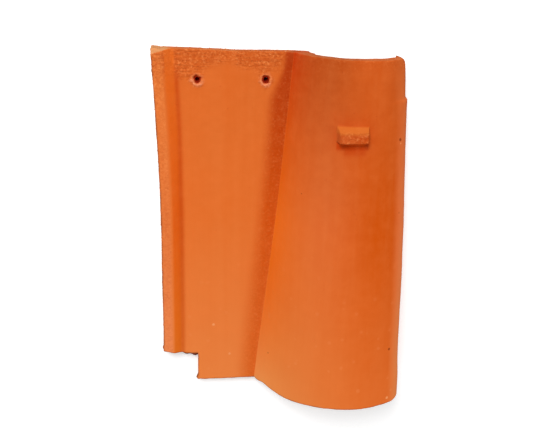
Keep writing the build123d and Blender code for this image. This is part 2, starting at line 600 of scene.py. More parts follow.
@dataclass(frozen=True)
class NailCrater:
    """Ragged dish round a punched nail hole, in millimetres."""

    # The mouth is where the hole's shade is painted onto the face.
    mouth: float = 4.6
    mouth_edge: float = 1.0
    radius: float = 5.4
    dish_edge: float = 2.4
    depth: float = 1.8
    rim_height: float = 1.1
    rim_width: float = 1.3
    rim_outside: float = 0.6
    rim_least: float = 0.4
    rim_at_tail: float = 0.8
    rim_at_head: float = -0.2
    rim_lean: float = 0.4
    ragged: float = 1.6
    ragged_size: float = 3.2
    ragged_offset: float = 5.3

    def relief(self, points: Array, centres: list[tuple[float, float]]) -> tuple[Array, Array, Array]:
        """Where the craters are on the weathered face.

        Args:
            points: Points of the weathered face.
            centres: Places of the nail holes.

        Returns:
            The share of each point in a mouth, painted dark as the hole's shade, in a dish and on a
            raised rim.
        """
        mouth, dish, rim = (np.zeros(points.shape[:-1]) for _ in range(3))
        raggedness = self.ragged * cloud(points, self.ragged_size, 2, self.ragged_offset)
        for x, y in centres:
            right, up = points[..., 0] - x, points[..., 1] - y
            from_hole = np.hypot(right, up) + raggedness
            tail_side = np.clip((-up - self.rim_lean * right) / self.radius, self.rim_at_head, 1.0)
            mouth = np.maximum(mouth, smooth_step((self.mouth - from_hole) / self.mouth_edge))
            dish = np.maximum(dish, smooth_step((self.radius - from_hole) / self.dish_edge))
            ridge = np.exp(-(((from_hole - self.radius - self.rim_outside) / self.rim_width) ** 2))
            rim = rim + ridge * (self.rim_least + self.rim_at_tail * tail_side)
        return mouth, dish, rim

    def shift(self, points: Array, centres: list[tuple[float, float]]) -> Array:
        """How far each point of the weathered face is pushed up or down.

        Args:
            points: Points of the weathered face.
            centres: Places of the nail holes.

        Returns:
            One upright shift for each point.
        """
        _, dish, rim = self.relief(points, centres)
        lift = rim * self.rim_height - dish * self.depth
        return lift[..., None] * np.array([0.0, 0.0, 1.0])


@dataclass(frozen=True)
class FiringWarp:
    """How the tile drew out of true in the kiln, in millimetres.

    Places along the tile are shares of the way from its tail to its head, and
    places across it are in millimetres.
    """

    left_out: float = 1.7
    left_waist: Swelling = Swelling(3.6, 0.6, 0.22)
    left_at_head: Growth = Growth(0.8, 0.84, 1.0)
    left_at_tail: Growth = Growth(1.1, 0.22, 0.06)
    right_bow: Swelling = Swelling(1.6, 0.37, 0.16)
    right_at_tail: Growth = Growth(1.7, 0.17, 0.04)
    right_drawn_in: Growth = Growth(0.7, 0.62, 0.77)
    tail_out: float = 1.6
    tail_belly: Swelling = Swelling(1.7, 98.0, 20.0)
    tail_dents: tuple[Swelling, ...] = (Swelling(2.7, -12.0, 9.0), Swelling(2.6, -20.5, 3.5))
    tail_reach: Growth = Growth(1.0, 0.12, 0.0)
    head_lift: float = 1.2
    head_lift_spread: float = 14.0
    head_sag: Swelling = Swelling(0.9, -55.0, 16.0)
    head_reach: Growth = Growth(1.0, 0.94, 1.0)

    def applied(self, points: Array, sizes: TileSizes) -> Array:
        """Move points within the level plane as the warp moves them.

        Args:
            points: Points of the unwarped tile.
            sizes: The tile's sizes.

        Returns:
            The moved points.
        """
        x, y = points[..., 0], points[..., 1]
        share = np.clip(sizes.share(y), 0.0, 1.0)
        across = np.clip((x - sizes.head_left) / -(2 * sizes.head_left), 0.0, 1.0)
        left = self.left_waist.at(share) - self.left_out
        left -= self.left_at_head.at(share) + self.left_at_tail.at(share)
        right = self.right_bow.at(share) + self.right_at_tail.at(share)
        right -= self.right_drawn_in.at(share)
        tail = self.tail_out + self.tail_belly.at(x)
        for dent in self.tail_dents:
            tail -= dent.at(x)
        head = self.head_lift * swell(x, sizes.head_left, self.head_lift_spread)
        head -= self.head_sag.at(x)
        moved = points.copy()
        moved[..., 0] += left * (1.0 - across) + right * across**2
        moved[..., 1] += head * self.head_reach.at(share) - tail * self.tail_reach.at(share)
        return moved


# The first two make the ledge below the notch's end, with painted shade on it.
SPURS = (
    Spur(place=(-107.0, -177.0, 1.5), push=(0.0, -10.0, 0.0), reach=14.0, soot=1.0),
    Spur(place=(-119.0, -174.0, 1.5), push=(0.0, -8.0, 0.0), reach=13.0, soot=1.0),
    Spur(place=(134.0, 162.5, 30.0), push=(2.0, -0.8, 0.0), reach=5.0),
    Spur(place=(-104.0, -213.0, 11.0), push=(-3.0, 0.6, 0.0), reach=4.5, soot=0.7),
    Spur(place=(-147.0, -165.0, 14.0), push=(-1.8, 0.0, 0.0), reach=4.5, soot=0.6),
    Spur(place=(-149.5, 193.0, 18.0), push=(-0.8, 0.0, 0.0), reach=3.5, soot=0.4),
)


@dataclass(frozen=True)
class SkinPoints:
    """Where each point of the skin's mesh lies, and where it comes from.

    A point's place is in millimetres. Its sheet is 0 on the weathered face and
    the last one on the underside, and its cell counts its line and row.
    """

    place: Array
    sheet: Array
    cell: Array


@dataclass
class TileSkin:
    """The tile's whole surface as one structured mesh, worked in millimetres.

    Each face is a grid of points, indexed by the line that runs along the tile
    and by the row across it. Sheets of the same grid fill the wall between them.
    """

    sizes: TileSizes
    lines: SectionLines
    step: float = 3.2
    depths: tuple[float, ...] = (0.0, 0.4, 1.0, 2.0, 4.0, 6.5, 9.0, 11.0, 12.0, 12.6, 13.0)
    edge_rows: tuple[float, ...] = (0.0, 0.4, 0.9, 1.6, 2.6)
    head_rows: tuple[float, ...] = tuple(range(4, 34))
    set_back_rows: tuple[float, ...] = (-0.9, 0.0, 0.9)
    lug_tail_foot_rows: tuple[float, ...] = (-0.7, 0.0)
    lug_tail_top_rows: tuple[float, ...] = (0.0, 0.9)
    lug_head_foot_rows: tuple[float, ...] = (0.8, 0.0, -1.1)
    lug_head_top_rows: tuple[float, ...] = (1.0, 0.0, -1.0)
    hole_cells: int = 6
    set_back_step: float = 3.0
    set_back_spread: float = 30.0
    slant_reach: float = 80.0
    bevel_edge: float = 0.1
    bore_taper: float = 0.9
    bore_fade: float = 3.0
    bore_rim: float = 0.2
    lip_lines: int = 4
    spurs: tuple[Spur, ...] = SPURS
    wear: ArrisWear = ArrisWear()
    warp: FiringWarp = FiringWarp()
    crater: NailCrater = NailCrater()
    y: Array = field(init=False)
    upper: Array = field(init=False)
    lower: Array = field(init=False)
    present: Array = field(init=False)
    lug_lift: Array = field(init=False)
    bevel: Array = field(init=False)
    notch_row: int = field(init=False)
    notch_line: int = field(init=False)
    nail_row: int = field(init=False)

    def __post_init__(self) -> None:
        """Lay out both faces of the tile and mark which cells are clay."""
        sizes = self.sizes
        self.y = self.cross_rows()
        self.upper = self.sheet(0.0)
        self.lower = self.sheet(sizes.wall)
        self.nail_row = nearest(self.y, sizes.nail_y)
        self.notch_row = nearest(self.y, sizes.tail_y + sizes.notch_length)
        beside_notch = self.upper[:, self.notch_row // 2, 0]
        self.notch_line = nearest(beside_notch, sizes.tail_left + sizes.notch_width)
        self.present = self.clay_cells()
        self.set_back()
        self.lug_lift = self.raise_lug()
        self.slant_notch()
        self.bevel = self.bevel_corner()
        self.square_head()
        self.open_holes()

    def cross_rows(self) -> Array:
        """Distances along the tile of the rows that run across it.

        Returns:
            The distances, rising from the tail to the head.
        """
        sizes = self.sizes
        half = self.lines.patch_cells // 2
        low, high = sizes.lug_y
        bends = {
            sizes.tail_y: self.edge_rows,
            sizes.tail_y + sizes.notch_length: self.edge_rows,
            sizes.head_y: [-off for off in (*self.edge_rows, *self.head_rows)],
            sizes.head_y - sizes.set_back_length: self.set_back_rows,
            low: self.lug_tail_foot_rows,
            low + sizes.lug_tail_run: self.lug_tail_top_rows,
            high: self.lug_head_foot_rows,
            high - sizes.lug_head_run: self.lug_head_top_rows,
            sizes.nail_y: [i * self.lines.patch_step for i in range(-half, half + 1)],
        }
        stops = [place + off for place, offs in bends.items() for off in offs]
        return filled(stops, self.step)

    def sheet(self, inset: float) -> Array:
        """Points of one face.

        Args:
            inset: Zero for the weathered face, or the wall's thickness.

        Returns:
            A point for each line along the tile and each row across it.
        """
        sizes = self.sizes
        tail = self.lines.face(sizes.tail, inset)
        head = self.lines.face(sizes.head, inset)
        tail[:, 0] += sizes.tail_left
        head[:, 0] += sizes.head_left
        share = sizes.share(self.y)[None, :, None]
        place = tail[:, None, :] * (1 - share) + head[:, None, :] * share
        along = np.broadcast_to(self.y[None, :], place.shape[:2])
        return np.stack([place[..., 0], along, place[..., 1]], -1)

    def clay_cells(self) -> Array:
        """Which cells of the grid are clay: all but the notch and the nail holes.

        Returns:
            True for each cell that is clay.
        """
        cells = np.ones((self.upper.shape[0] - 1, self.upper.shape[1] - 1), bool)
        cells[: self.notch_line, : self.notch_row] = False
        half = self.hole_cells // 2
        rows = slice(self.nail_row - half, self.nail_row + half)
        for line in self.lines.nail_lines:
            cells[line - half : line + half, rows] = False
        return cells

    def set_back(self) -> None:
        """Take the strip beside the head off the lapping side."""
        sizes = self.sizes
        past_start = self.y - sizes.head_y + sizes.set_back_length
        tail_right = sizes.tail_left + sizes.tail.width
        head_right = sizes.head_left + sizes.head.width
        right = sizes.between(tail_right, head_right, self.y)[None, :]
        towards_head = np.clip(past_start / sizes.set_back_length, 0.0, 1.0)
        depth = sizes.set_back_start_depth * (1.0 - towards_head)
        depth += sizes.set_back_head_depth * towards_head
        depth *= smooth_step(past_start / self.set_back_step + 0.5)
        near_side = smooth_step(1.0 - (right - self.upper[..., 0]) / self.set_back_spread)
        self.upper[..., 0] -= depth[None, :] * near_side

    def raise_lug(self) -> Array:
        """Lift the weathered face into the flat-topped stop lug.

        Returns:
            How far up the lug each point is, from 0 at its foot to 1 on its top.
        """
        sizes = self.sizes
        low, high = sizes.lug_y
        x, y = self.upper[..., 0], self.upper[..., 1]
        sides = (sizes.lug_width / 2 - abs(x - sizes.lug_x)) / sizes.lug_side_run
        tail_side = (y - low) / sizes.lug_tail_run
        head_side = (high - y) / sizes.lug_head_run
        lift = np.clip(np.minimum(np.minimum(sides, tail_side), head_side), 0.0, 1.0)
        crown_z = sizes.wall + sizes.between(sizes.tail.roll_rise, sizes.head.roll_rise, y)
        self.upper[..., 2] += lift * (crown_z + sizes.lug_height - self.upper[..., 2])
        return lift

    def slant_notch(self) -> None:
        """Draw the rib's end back towards the left, where the notch is cut askew across it."""
        sizes = self.sizes
        end = sizes.tail_y + sizes.notch_length
        for face in (self.upper, self.lower):
            from_left = np.clip(face[..., 0] - sizes.tail_left, 0.0, sizes.notch_slant_width)
            slant = sizes.notch_end_slant * (1.0 - from_left / sizes.notch_slant_width)
            beyond = (face[..., 1] - end) / self.slant_reach
            face[..., 1] += slant * np.clip(1.0 - beyond, 0.0, 1.0) * (beyond > -TINY)

    def bevel_corner(self) -> Array:
        """Slice the top off the rib's corner at the head.

        Returns:
            Which points of the weathered face the slice takes, from 0 to 1.
        """
        sizes = self.sizes
        from_left = (self.upper[..., 0] - sizes.head_left) / sizes.rib_bevel_width
        from_head = (sizes.head_y - self.upper[..., 1]) / sizes.rib_bevel_length
        inside = np.clip(1.0 - from_left - from_head, 0.0, 1.0)
        self.upper[..., 2] -= sizes.rib_bevel_drop * inside
        return smooth_step(inside / self.bevel_edge)

    def square_head(self) -> None:
        """Pull the head's right side back, so that the head is slightly out of square."""
        sizes = self.sizes
        reach = sizes.nail_from_head - self.lines.patch_cells * self.lines.patch_step / 2
        for face in (self.upper, self.lower):
            across = (face[..., 0] - sizes.head_left) / -(2 * sizes.head_left)
            close = np.clip((face[..., 1] - sizes.head_y + reach) / reach, 0.0, 1.0)
            face[..., 1] -= sizes.head_out_of_square * across * close
        self.round_corner(self.upper)

    def round_corner(self, face: Array) -> None:
        """Round the head's right corner, seen from above.

        Args:
            face: Points of the face, which are moved.
        """
        radius = self.sizes.head_corner_radius
        corner = face[-1, -1, :2] - radius
        inside = np.clip((face[..., :2] - corner) / radius, 0.0, None)
        reach = np.maximum(np.hypot(inside[..., 0], inside[..., 1]), TINY)
        scale = np.maximum(inside[..., 0], inside[..., 1]) / reach
        both = (inside[..., 0] > 0.0) & (inside[..., 1] > 0.0)
        drawn = corner + inside * radius * scale[..., None]
        face[..., :2] = np.where(both[..., None], drawn, face[..., :2])

    def open_holes(self) -> None:
        """Turn the square opening at each nail hole into a round one."""
        half = self.lines.patch_cells // 2
        opening = self.hole_cells // 2
        around = [(i, j) for i in range(-half, half + 1) for j in range(-half, half + 1)]
        for line, centre in zip(self.lines.nail_lines, self.sizes.nail_centres):
            for i, j in around:
                ring = max(abs(i), abs(j)) - opening
                if ring < 0:
                    continue
                share = ring / (half - opening)
                radius = self.sizes.nail_radius + ring * self.lines.patch_step
                round_place = np.array(centre) + np.array([i, j]) / math.hypot(i, j) * radius
                for face in (self.upper, self.lower):
                    point = face[line + i, self.nail_row + j]
                    point[:2] = (1 - share) * round_place + share * point[:2]

    def frames(self, face: Array) -> tuple[Array, Array, Array]:
        """Directions across, along and out of a face at each of its points.

        Args:
            face: Points of the face.

        Returns:
            Three unit vectors for each point.
        """
        across = unit(np.gradient(face, axis=0))
        along = unit(np.gradient(face, axis=1))
        return across, along, unit(np.cross(across, along))

    def edge_pull(self, radius: Array) -> tuple[Array, Array]:
        """How far inside its rounding each point of the grid is, across and along.

        Args:
            radius: Radius of the worn arris at each point.

        Returns:
            Signed shortfalls from the rounding's centre line, across and along.
        """
        step_s = np.linalg.norm(np.diff(self.upper, axis=0), axis=-1)
        step_y = np.linalg.norm(np.diff(self.upper, axis=1), axis=-1)
        run_s = np.concatenate([np.zeros((1, step_s.shape[1])), np.cumsum(step_s, 0)])
        run_y = np.concatenate([np.zeros((step_y.shape[0], 1)), np.cumsum(step_y, 1)], 1)
        from_left = run_s - run_s[self.first_lines(), np.arange(run_s.shape[1])][None, :]
        from_right = run_s[-1][None, :] - run_s
        from_tail = run_y - run_y[np.arange(run_y.shape[0]), self.first_rows()][:, None]
        from_head = run_y[:, -1][:, None] - run_y
        pull_s = np.maximum(radius - np.maximum(from_left, 0), 0)
        pull_s -= np.maximum(radius - from_right, 0)
        pull_y = np.maximum(radius - np.maximum(from_tail, 0), 0)
        pull_y -= np.maximum(radius - from_head, 0)
        line, row = self.notch_line, self.notch_row
        inner_s = run_s[line:, row:] - run_s[line, row:][None, :]
        inner_y = run_y[line:, row:] - run_y[line:, row][:, None]
        reach = np.hypot(inner_s, inner_y)
        corner = np.maximum(radius[line:, row:] - reach, 0)
        angle = np.where(reach > TINY, np.arctan2(inner_y, inner_s), math.pi / 4)
        near = corner > 0
        pull_s[line:, row:] = np.where(near, corner * np.cos(angle), pull_s[line:, row:])
        pull_y[line:, row:] = np.where(near, corner * np.sin(angle), pull_y[line:, row:])
        return self.hole_pull(radius, pull_s, pull_y)

    def first_lines(self) -> Array:
        """The line that the clay starts at in each row."""
        return np.where(np.arange(self.upper.shape[1]) < self.notch_row, self.notch_line, 0)

    def first_rows(self) -> Array:
        """The row that the clay starts at on each line."""
        return np.where(np.arange(self.upper.shape[0]) < self.notch_line, self.notch_row, 0)

    def hole_pull(self, radius: Array, pull_s: Array, pull_y: Array) -> tuple[Array, Array]:
        """Add the rounding at each nail hole's rim to the shortfalls.

        Args:
            radius: Radius of the worn arris at each point.
            pull_s: Shortfalls across the tile.
            pull_y: Shortfalls along the tile.

        Returns:
            The new shortfalls, across and along.
        """
        bore = self.sizes.nail_radius
        for centre in self.sizes.nail_centres:
            offset = self.upper[..., :2] - np.array(centre)
            reach = np.maximum(np.hypot(offset[..., 0], offset[..., 1]), TINY)
            rim = np.clip(radius - (reach - bore), 0, radius)
            rim *= (reach < bore + radius) & (reach > bore - self.bore_rim)
            pull_s = pull_s + rim * offset[..., 0] / reach
            pull_y = pull_y + rim * offset[..., 1] / reach
        return pull_s, pull_y

    def block(self) -> Array:
        """Points of the whole wall, with worn arrises, craters, crumbs and warp.

        Returns:
            A point for each sheet, line and row.
        """
        wall = self.sizes.wall
        radius = self.wear.radius(self.upper)
        radius[-self.lip_lines :] = np.maximum(radius[-self.lip_lines :], self.wear.lip)
        pull_s, pull_y = self.edge_pull(radius)
        top, bottom = self.frames(self.upper), self.frames(self.lower)
        sheets = []
        for depth in self.depths:
            share = depth / wall
            points = self.upper * (1 - share) + self.lower * share
            across, along, out = (a * (1 - share) + b * share for a, b in zip(top, bottom))
            drop = np.maximum(radius - depth, 0) - np.maximum(radius - wall + depth, 0)
            length = np.sqrt(pull_s**2 + pull_y**2 + drop**2)
            ease = 1 - radius / np.maximum(length, radius)
            pull = pull_s[..., None] * across + pull_y[..., None] * along - drop[..., None] * out
            sheets.append(points + pull * ease[..., None])
        block = np.stack(sheets)
        block[0] += self.crater.shift(self.upper, self.sizes.nail_centres)
        self.narrow_bores(block)
        for spur in self.spurs:
            block += spur.shift(block)
        return self.warp.applied(block, self.sizes)

    def narrow_bores(self, block: Array) -> None:
        """Taper each nail hole towards the underside, as a punch leaves it.

        Args:
            block: Points of the whole wall, which are moved.
        """
        for x, y in self.sizes.nail_centres:
            for depth, sheet in zip(self.depths, block):
                offset = sheet[..., :2] - np.array([x, y])
                reach = np.maximum(np.hypot(offset[..., 0], offset[..., 1]), TINY)
                near = smooth_step((self.sizes.nail_radius - reach) / self.bore_fade + 1.0)
                draw = self.bore_taper * depth / self.sizes.wall * near
                sheet[..., :2] -= offset / reach[..., None] * draw[..., None]

    def quads(self, shape: tuple[int, int, int]) -> Array:
        """Corners of every face of the closed skin.

        Args:
            shape: Number of sheets, lines and rows of the block.

        Returns:
            Four numbers of the block's points for each face, turned outwards.
        """
        sheets, lines, rows = shape
        cells = np.zeros((lines + 1, rows + 1), bool)
        cells[1:-1, 1:-1] = self.present
        i, j = np.nonzero(self.present)
        corner = [(i, j), (i + 1, j), (i + 1, j + 1), (i, j + 1)]

        def number(sheet: int, place: tuple[Array, Array]) -> Array:
            """Number of a point of the block."""
            return (sheet * lines + place[0]) * rows + place[1]

        faces = [
            np.stack([number(0, place) for place in corner], 1),
            np.stack([number(sheets - 1, place) for place in corner[::-1]], 1),
        ]
        sides = [((0, -1), 0, 1), ((1, 0), 1, 2), ((0, 1), 2, 3), ((-1, 0), 3, 0)]
        for (line_step, row_step), first, second in sides:
            open_side = ~cells[i + 1 + line_step, j + 1 + row_step]
            start = tuple(axis[open_side] for axis in corner[first])
            end = tuple(axis[open_side] for axis in corner[second])
            for sheet in range(sheets - 1):
                wall = [number(sheet + 1, start), number(sheet + 1, end)]
                wall += [number(sheet, end), number(sheet, start)]
                faces.append(np.stack(wall, 1))
        return np.concatenate(faces)

    def mesh(self, name: str) -> tuple[bpy.types.Mesh, SkinPoints]:
        """The closed mesh in metres.

        Args:
            name: Name of the mesh.

        Returns:
            The mesh, and where each of its points comes from.
        """
        block = self.block()
        used, quads = np.unique(self.quads(block.shape[:3]), return_inverse=True)
        points = block.reshape(-1, 3)[used]
        mesh = bpy.data.meshes.new(name)
        mesh.from_pydata((points * MM).tolist(), [], quads.reshape(-1, 4).tolist())
        cells = self.upper.shape[0] * self.upper.shape[1]
        return mesh, SkinPoints(points, used // cells, used % cells)


@dataclass(frozen=True)
class HeadTear:
    """Ragged zone along the head where the clay tore as it was cut off, in millimetres."""

    reach: float = 23.0
    fade: float = 19.0
    ragged: float = 7.0
    ragged_size: float = 16.0
    ragged_offset: float = 7.9
    lobes: tuple[Swelling, ...] = (Swelling(18.0, -120.0, 24.0), Swelling(12.0, -22.0, 16.0))

    def at(self, points: Array, from_head: Array) -> Array:
        """How torn the clay is.

        Args:
            points: Points of the weathered face.
            from_head: Their distances from the head.

        Returns:
            A share from 0 to 1 for each point.
        """
        reach = self.reach + self.ragged * cloud(points, self.ragged_size, 3, self.ragged_offset)
        for lobe in self.lobes:
            reach = reach + lobe.at(points[..., 0])
        return smooth_step((reach - from_head) / self.fade)


@dataclass(frozen=True)
class LugShade:
    """Dark shade on the roll round the stop lug, in millimetres."""

    length: float = 11.5
    edge: float = 3.5
    side_reach: float = 1.5
    side_edge: float = 2.5
    soft_length: float = 19.0
    soft_edge: float = 7.0
    soft_inset: float = 2.0
    soft_side_edge: float = 6.0
    soft_shift: float = 3.0
    soft_level: float = 0.7
    top_edge: Growth = Growth(1.0, 1.2, 0.2)
    halo: float = 13.0
    halo_level: float = 0.22

    def at(self, x: Array, y: Array, sizes: TileSizes) -> tuple[Array, Array]:
        """How dark the shade is below the lug's tail side, and all round the lug.

        Args:
            x: Distances across the tile from the lug's middle.
            y: Distances along the tile from the lug's tail side, towards the head.
            sizes: The tile's sizes.

        Returns:
            Two shares from 0 to 1 for each point.
        """
        half = sizes.lug_width / 2
        inside = smooth_step((half + self.side_reach - abs(x)) / self.side_edge)
        soft_half = half - self.soft_inset
        narrow = smooth_step((soft_half - abs(x - self.soft_shift)) / self.soft_side_edge)
        core = inside * smooth_step((y + self.length) / self.edge)
        soft = self.soft_level * narrow * smooth_step((y + self.soft_length) / self.soft_edge)
        beside = np.maximum(abs(x) - half, 0.0)
        beyond = np.maximum(np.maximum(-y, y - sizes.lug_length), 0.0)
        around = self.halo_level * np.exp(-((np.hypot(beside, beyond) / self.halo) ** 2))
        return np.maximum(core, soft) * self.top_edge.at(y), around


@dataclass
class ClayZones:
    """Where each kind of clay surface, and each painted light and shade, lies on the skin.

    A zone is a share from 0 to 1 on each point. Widths are in millimetres, and
    a pair of widths is the one at the tail and the one at the head.
    """

    skin: TileSkin
    points: SkinPoints
    strip_width: float = 13.0
    strip_edge: float = 2.5
    slope_edge: float = 2.0
    slope_foot_edge: float = 3.0
    foot_outside: float = 1.0
    foot_drift: Growth = Growth(1.5, 0.6, 0.8)
    foot_spread: float = 2.2
    foot_end: Growth = Growth(1.0, 0.97, 0.92)
    pan_edge: float = 8.0
    crease_edge: float = 1.2
    # The band paints shade into the pan beside the crease, partly a redder clay.
    band_width: tuple[float, float] = (30.0, 29.0)
    band_fade: tuple[float, float] = (28.0, 15.0)
    band_pinch: Growth = Growth(0.55, 0.86, 0.96)
    # The flank zone paints light onto the roll beside the crease.
    flank_width: tuple[float, float] = (32.0, 12.0)
    # The lee zone paints the shading of the roll's far side as colour.
    lee: Growth = Growth(1.0, 0.25, 0.75)
    # The rim zone paints a pale highlight along the roll's right edge.
    rim_width: float = 18.0
    rim_fade: Growth = Growth(0.8, -2.0, 12.0)
    ramp_edge: Growth = Growth(1.0, 1.15, 0.95)
    ramp_margin: float = 1.0
    lug_least: float = 0.02
    lug_top: Growth = Growth(1.0, 0.8, 1.0)
    lug_side: Growth = Growth(1.0, 0.97, 0.87)
    # The warm zone tints the painted shadow at the lug's tail foot red.
    warm_side_edge: float = 3.0
    warm_reach: Growth = Growth(1.0, 5.0, 0.0)
    warm_top: Growth = Growth(1.0, 1.5, 0.0)
    shade: LugShade = LugShade()
    tear: HeadTear = HeadTear()
    slope_clean: float = 0.7
    grit_strip: float = 0.45
    grit_strip_at_head: Growth = Growth(0.55, 70.0, 0.0)
    grit_roll: float = 0.25
    grit_band: float = 0.3
    grit_lug: float = 0.9
    grit_nails: Growth = Growth(1.0, 11.0, 6.0)
    grit_nails_ragged: float = 3.0
    grit_nails_size: float = 6.0
    grit_nails_offset: float = 1.3
    bore_start: float = 1.0
    bore_full: float = 5.0
    bore_reach: float = 1.5
    soot_gain: float = 2.0
    # The arris zone paints shade along the left and tail edges.
    arris_line: float = 1.3
    arris_depth: float = 2.5
    arris_level: float = 0.8
    arris_least: float = 0.2
    arris_patch: float = 9.0
    arris_offset: float = 21.3
    pale_least: float = 0.25
    pale_patches: tuple[Swelling, ...] = (
        Swelling(0.8, -143.0, 9.0),
        Swelling(0.25, -77.0, 18.0),
        Swelling(0.1, 38.0, 14.0),
    )
    share: Array = field(init=False)
    from_left: Array = field(init=False)
    from_head: Array = field(init=False)
    past_crease: Array = field(init=False)

    def __post_init__(self) -> None:
        """Measure where each point of the weathered face is."""
        sizes = self.skin.sizes
        x, y = self.skin.upper[..., 0], self.skin.upper[..., 1]
        self.share = np.clip(sizes.share(y), 0.0, 1.0)
        self.from_left = x - sizes.between(sizes.tail_left, sizes.head_left, y)
        self.from_head = sizes.head_y - y
        pan_width = sizes.between(sizes.tail.pan_width, sizes.head.pan_width, y)
        self.past_crease = self.from_left - pan_width

    def along(self, ends: tuple[float, float]) -> Array:
        """A width at each point of the weathered face, from its two ends."""
        return self.skin.sizes.between(*ends, self.skin.upper[..., 1])

    def paint(self, mesh: bpy.types.Mesh) -> None:
        """Store every zone on the mesh.

        Args:
            mesh: The skin's mesh.
        """
        not_under = self.points.sheet < len(self.skin.depths) - 1
        zones = {}
        for name, zone in self.on_face().items():
            zones[name] = zone.reshape(-1)[self.points.cell] * not_under
        zones.update(self.in_wall())
        for name, values in zones.items():
            attribute = mesh.attributes.new(name, "FLOAT", "POINT")
            attribute.data.foreach_set("value", values.astype(np.float32))

    def on_face(self) -> dict[str, Array]:
        """Zones of the weathered face, which also go down its edges.

        Returns:
            Each zone by name, on the grid's points.
        """
        skin = self.skin
        mouth, dish, rim = skin.crater.relief(skin.upper, skin.sizes.nail_centres)
        strip, slope, roll, ramp = self.strip(), self.slope(), self.roll(), self.lug_ramp()
        tear = self.tear.at(skin.upper, self.from_head) * (1.0 - self.slope_clean * slope)
        on_pan = smooth_step(-self.past_crease / self.pan_edge - 1.0)
        torn = tear * (self.grit_roll + (1.0 - self.grit_roll) * on_pan)
        band = self.band() * (1.0 - roll)
        return {
            "grit_zone": self.grit(strip, band, torn),
            "strip_zone": strip,
            "head_band": tear * on_pan,
            "roll_zone": roll,
            "band_zone": band,
            "flank_zone": roll * self.flank(),
            "lee_zone": self.lee.at(self.past_crease / self.past_crease[-1][None, :]),
            "rim_zone": self.rim(),
            "lug_ramp": ramp,
            "lug_top": self.lug_top.at(skin.lug_lift),
            "lug_foot": self.lug_foot() * (1.0 - ramp),
            "rib_slope": slope,
            "rib_foot": self.rib_foot(),
            "bevel": skin.bevel,
            "lug_shade": self.lug_shade(),
            "nail_mouth": mouth,
            "nail_dish": dish,
            "nail_rim": np.clip(rim, 0.0, 1.0),
        }

    def in_wall(self) -> dict[str, Array]:
        """Zones of the cut faces, the nail holes and the underside.

        Returns:
            Each zone by name, on the mesh's points.
        """
        sheet = self.points.sheet
        depth = np.array(self.skin.depths)[sheet]
        under = sheet == len(self.skin.depths) - 1
        inner = (sheet > 0) & ~under
        shallow = np.maximum(0.0, 1.0 - depth / self.arris_depth)
        return {
            "bore": self.bore(depth),
            "broken_face": inner * self.paleness(),
            "soot": inner * self.soot(),
            "underside": under.astype(float),
            "arris": self.arris()[self.points.cell] * shallow,
        }

    def strip(self) -> Array:
        """The rib's flat top along the left edge."""
        return smooth_step((self.strip_width - self.from_left) / self.strip_edge)

    def foot_line(self) -> Array:
        """Distance of the rib's foot from the left edge."""
        return self.skin.sizes.rib_foot_width + self.foot_outside + self.foot_drift.at(self.share)

    def slope(self) -> Array:
        """The rib's inner flank: its colour is partly painted shading and partly a more saturated clay.
        """
        slope = smooth_step((self.from_left - self.strip_width) / self.slope_edge)
        return slope * smooth_step((self.foot_line() - self.from_left) / self.slope_foot_edge)

    def rib_foot(self) -> Array:
        """Painted shade in the line along the rib's foot, which ends before the head."""
        near = swell(self.from_left, self.foot_line(), self.foot_spread)
        return near * self.foot_end.at(self.share)

    def roll(self) -> Array:
        """The roll, from the crease on."""
        return smooth_step(self.past_crease / self.crease_edge + 0.5)

    def band(self) -> Array:
        """The pan's dark band beside the crease: painted shade in the crease, partly a redder clay
        there.

        Returns:
            The zone on the grid's points.
        """
        pinch = 1.0 - self.band_pinch.at(self.share)
        inside = self.past_crease + self.along(self.band_width) * pinch
        return smooth_step(inside / (self.along(self.band_fade) * pinch))

    def flank(self) -> Array:
        """How near the crease the roll is: where the roll's flank is painted lighter, as light falls on
        it.
        """
        return np.exp(-np.maximum(self.past_crease, 0.0) / self.along(self.flank_width))

    def rim(self) -> Array:
        """The roll's right edge, from the shoulder up, where a pale painted highlight lies.

        Returns:
            The zone on the grid's points.
        """
        skin = self.skin
        shoulders = [skin.lines.shoulder(end)[1] for end in (skin.sizes.tail, skin.sizes.head)]
        below = self.along(shoulders) - skin.upper[..., 2]
        to_right = self.past_crease[-1][None, :] - self.past_crease
        return np.clip(1.0 - to_right / self.rim_width, 0.0, 1.0) * (1.0 - self.rim_fade.at(below))

    def lug_ramp(self) -> Array:
        """The lug's long slope on its head side, painted lighter where it faces the light, and partly a
        smoother, yellower clay.

        Returns:
            The zone on the grid's points.
        """
        sizes = self.skin.sizes
        down = (sizes.lug_y[1] - self.skin.upper[..., 1]) / (sizes.lug_head_run + self.ramp_margin)
        return (self.skin.lug_lift > self.lug_least) * self.ramp_edge.at(down)

    def lug_foot(self) -> Array:
        """The lug's steep tail side and its foot, where the lug's painted shadow is given a warm red
        tint.

        Returns:
            The zone on the grid's points.
        """
        sizes = self.skin.sizes
        half = sizes.lug_width / 2 - sizes.lug_side_run
        above = self.skin.upper[..., 1] - sizes.lug_y[0]
        within = smooth_step((half - abs(self.skin.upper[..., 0] - sizes.lug_x)) / self.warm_side_edge)
        near = self.warm_reach.at(np.maximum(-above, 0.0)) * self.warm_top.at(above)
        return within * near * self.lug_side.at(self.skin.lug_lift)

    def lug_shade(self) -> Array:
        """The shade below the lug and the faint one round it.

        Returns:
            The zone on the grid's points.
        """
        sizes = self.skin.sizes
        low = sizes.lug_y[0]
        x = self.skin.upper[..., 0] - sizes.crown_x(low) + sizes.lug_off_crown
        y = self.skin.upper[..., 1] - low
        shade, around = self.shade.at(x, y, sizes)
        return np.maximum(shade, around * (self.skin.lug_lift < self.lug_least))

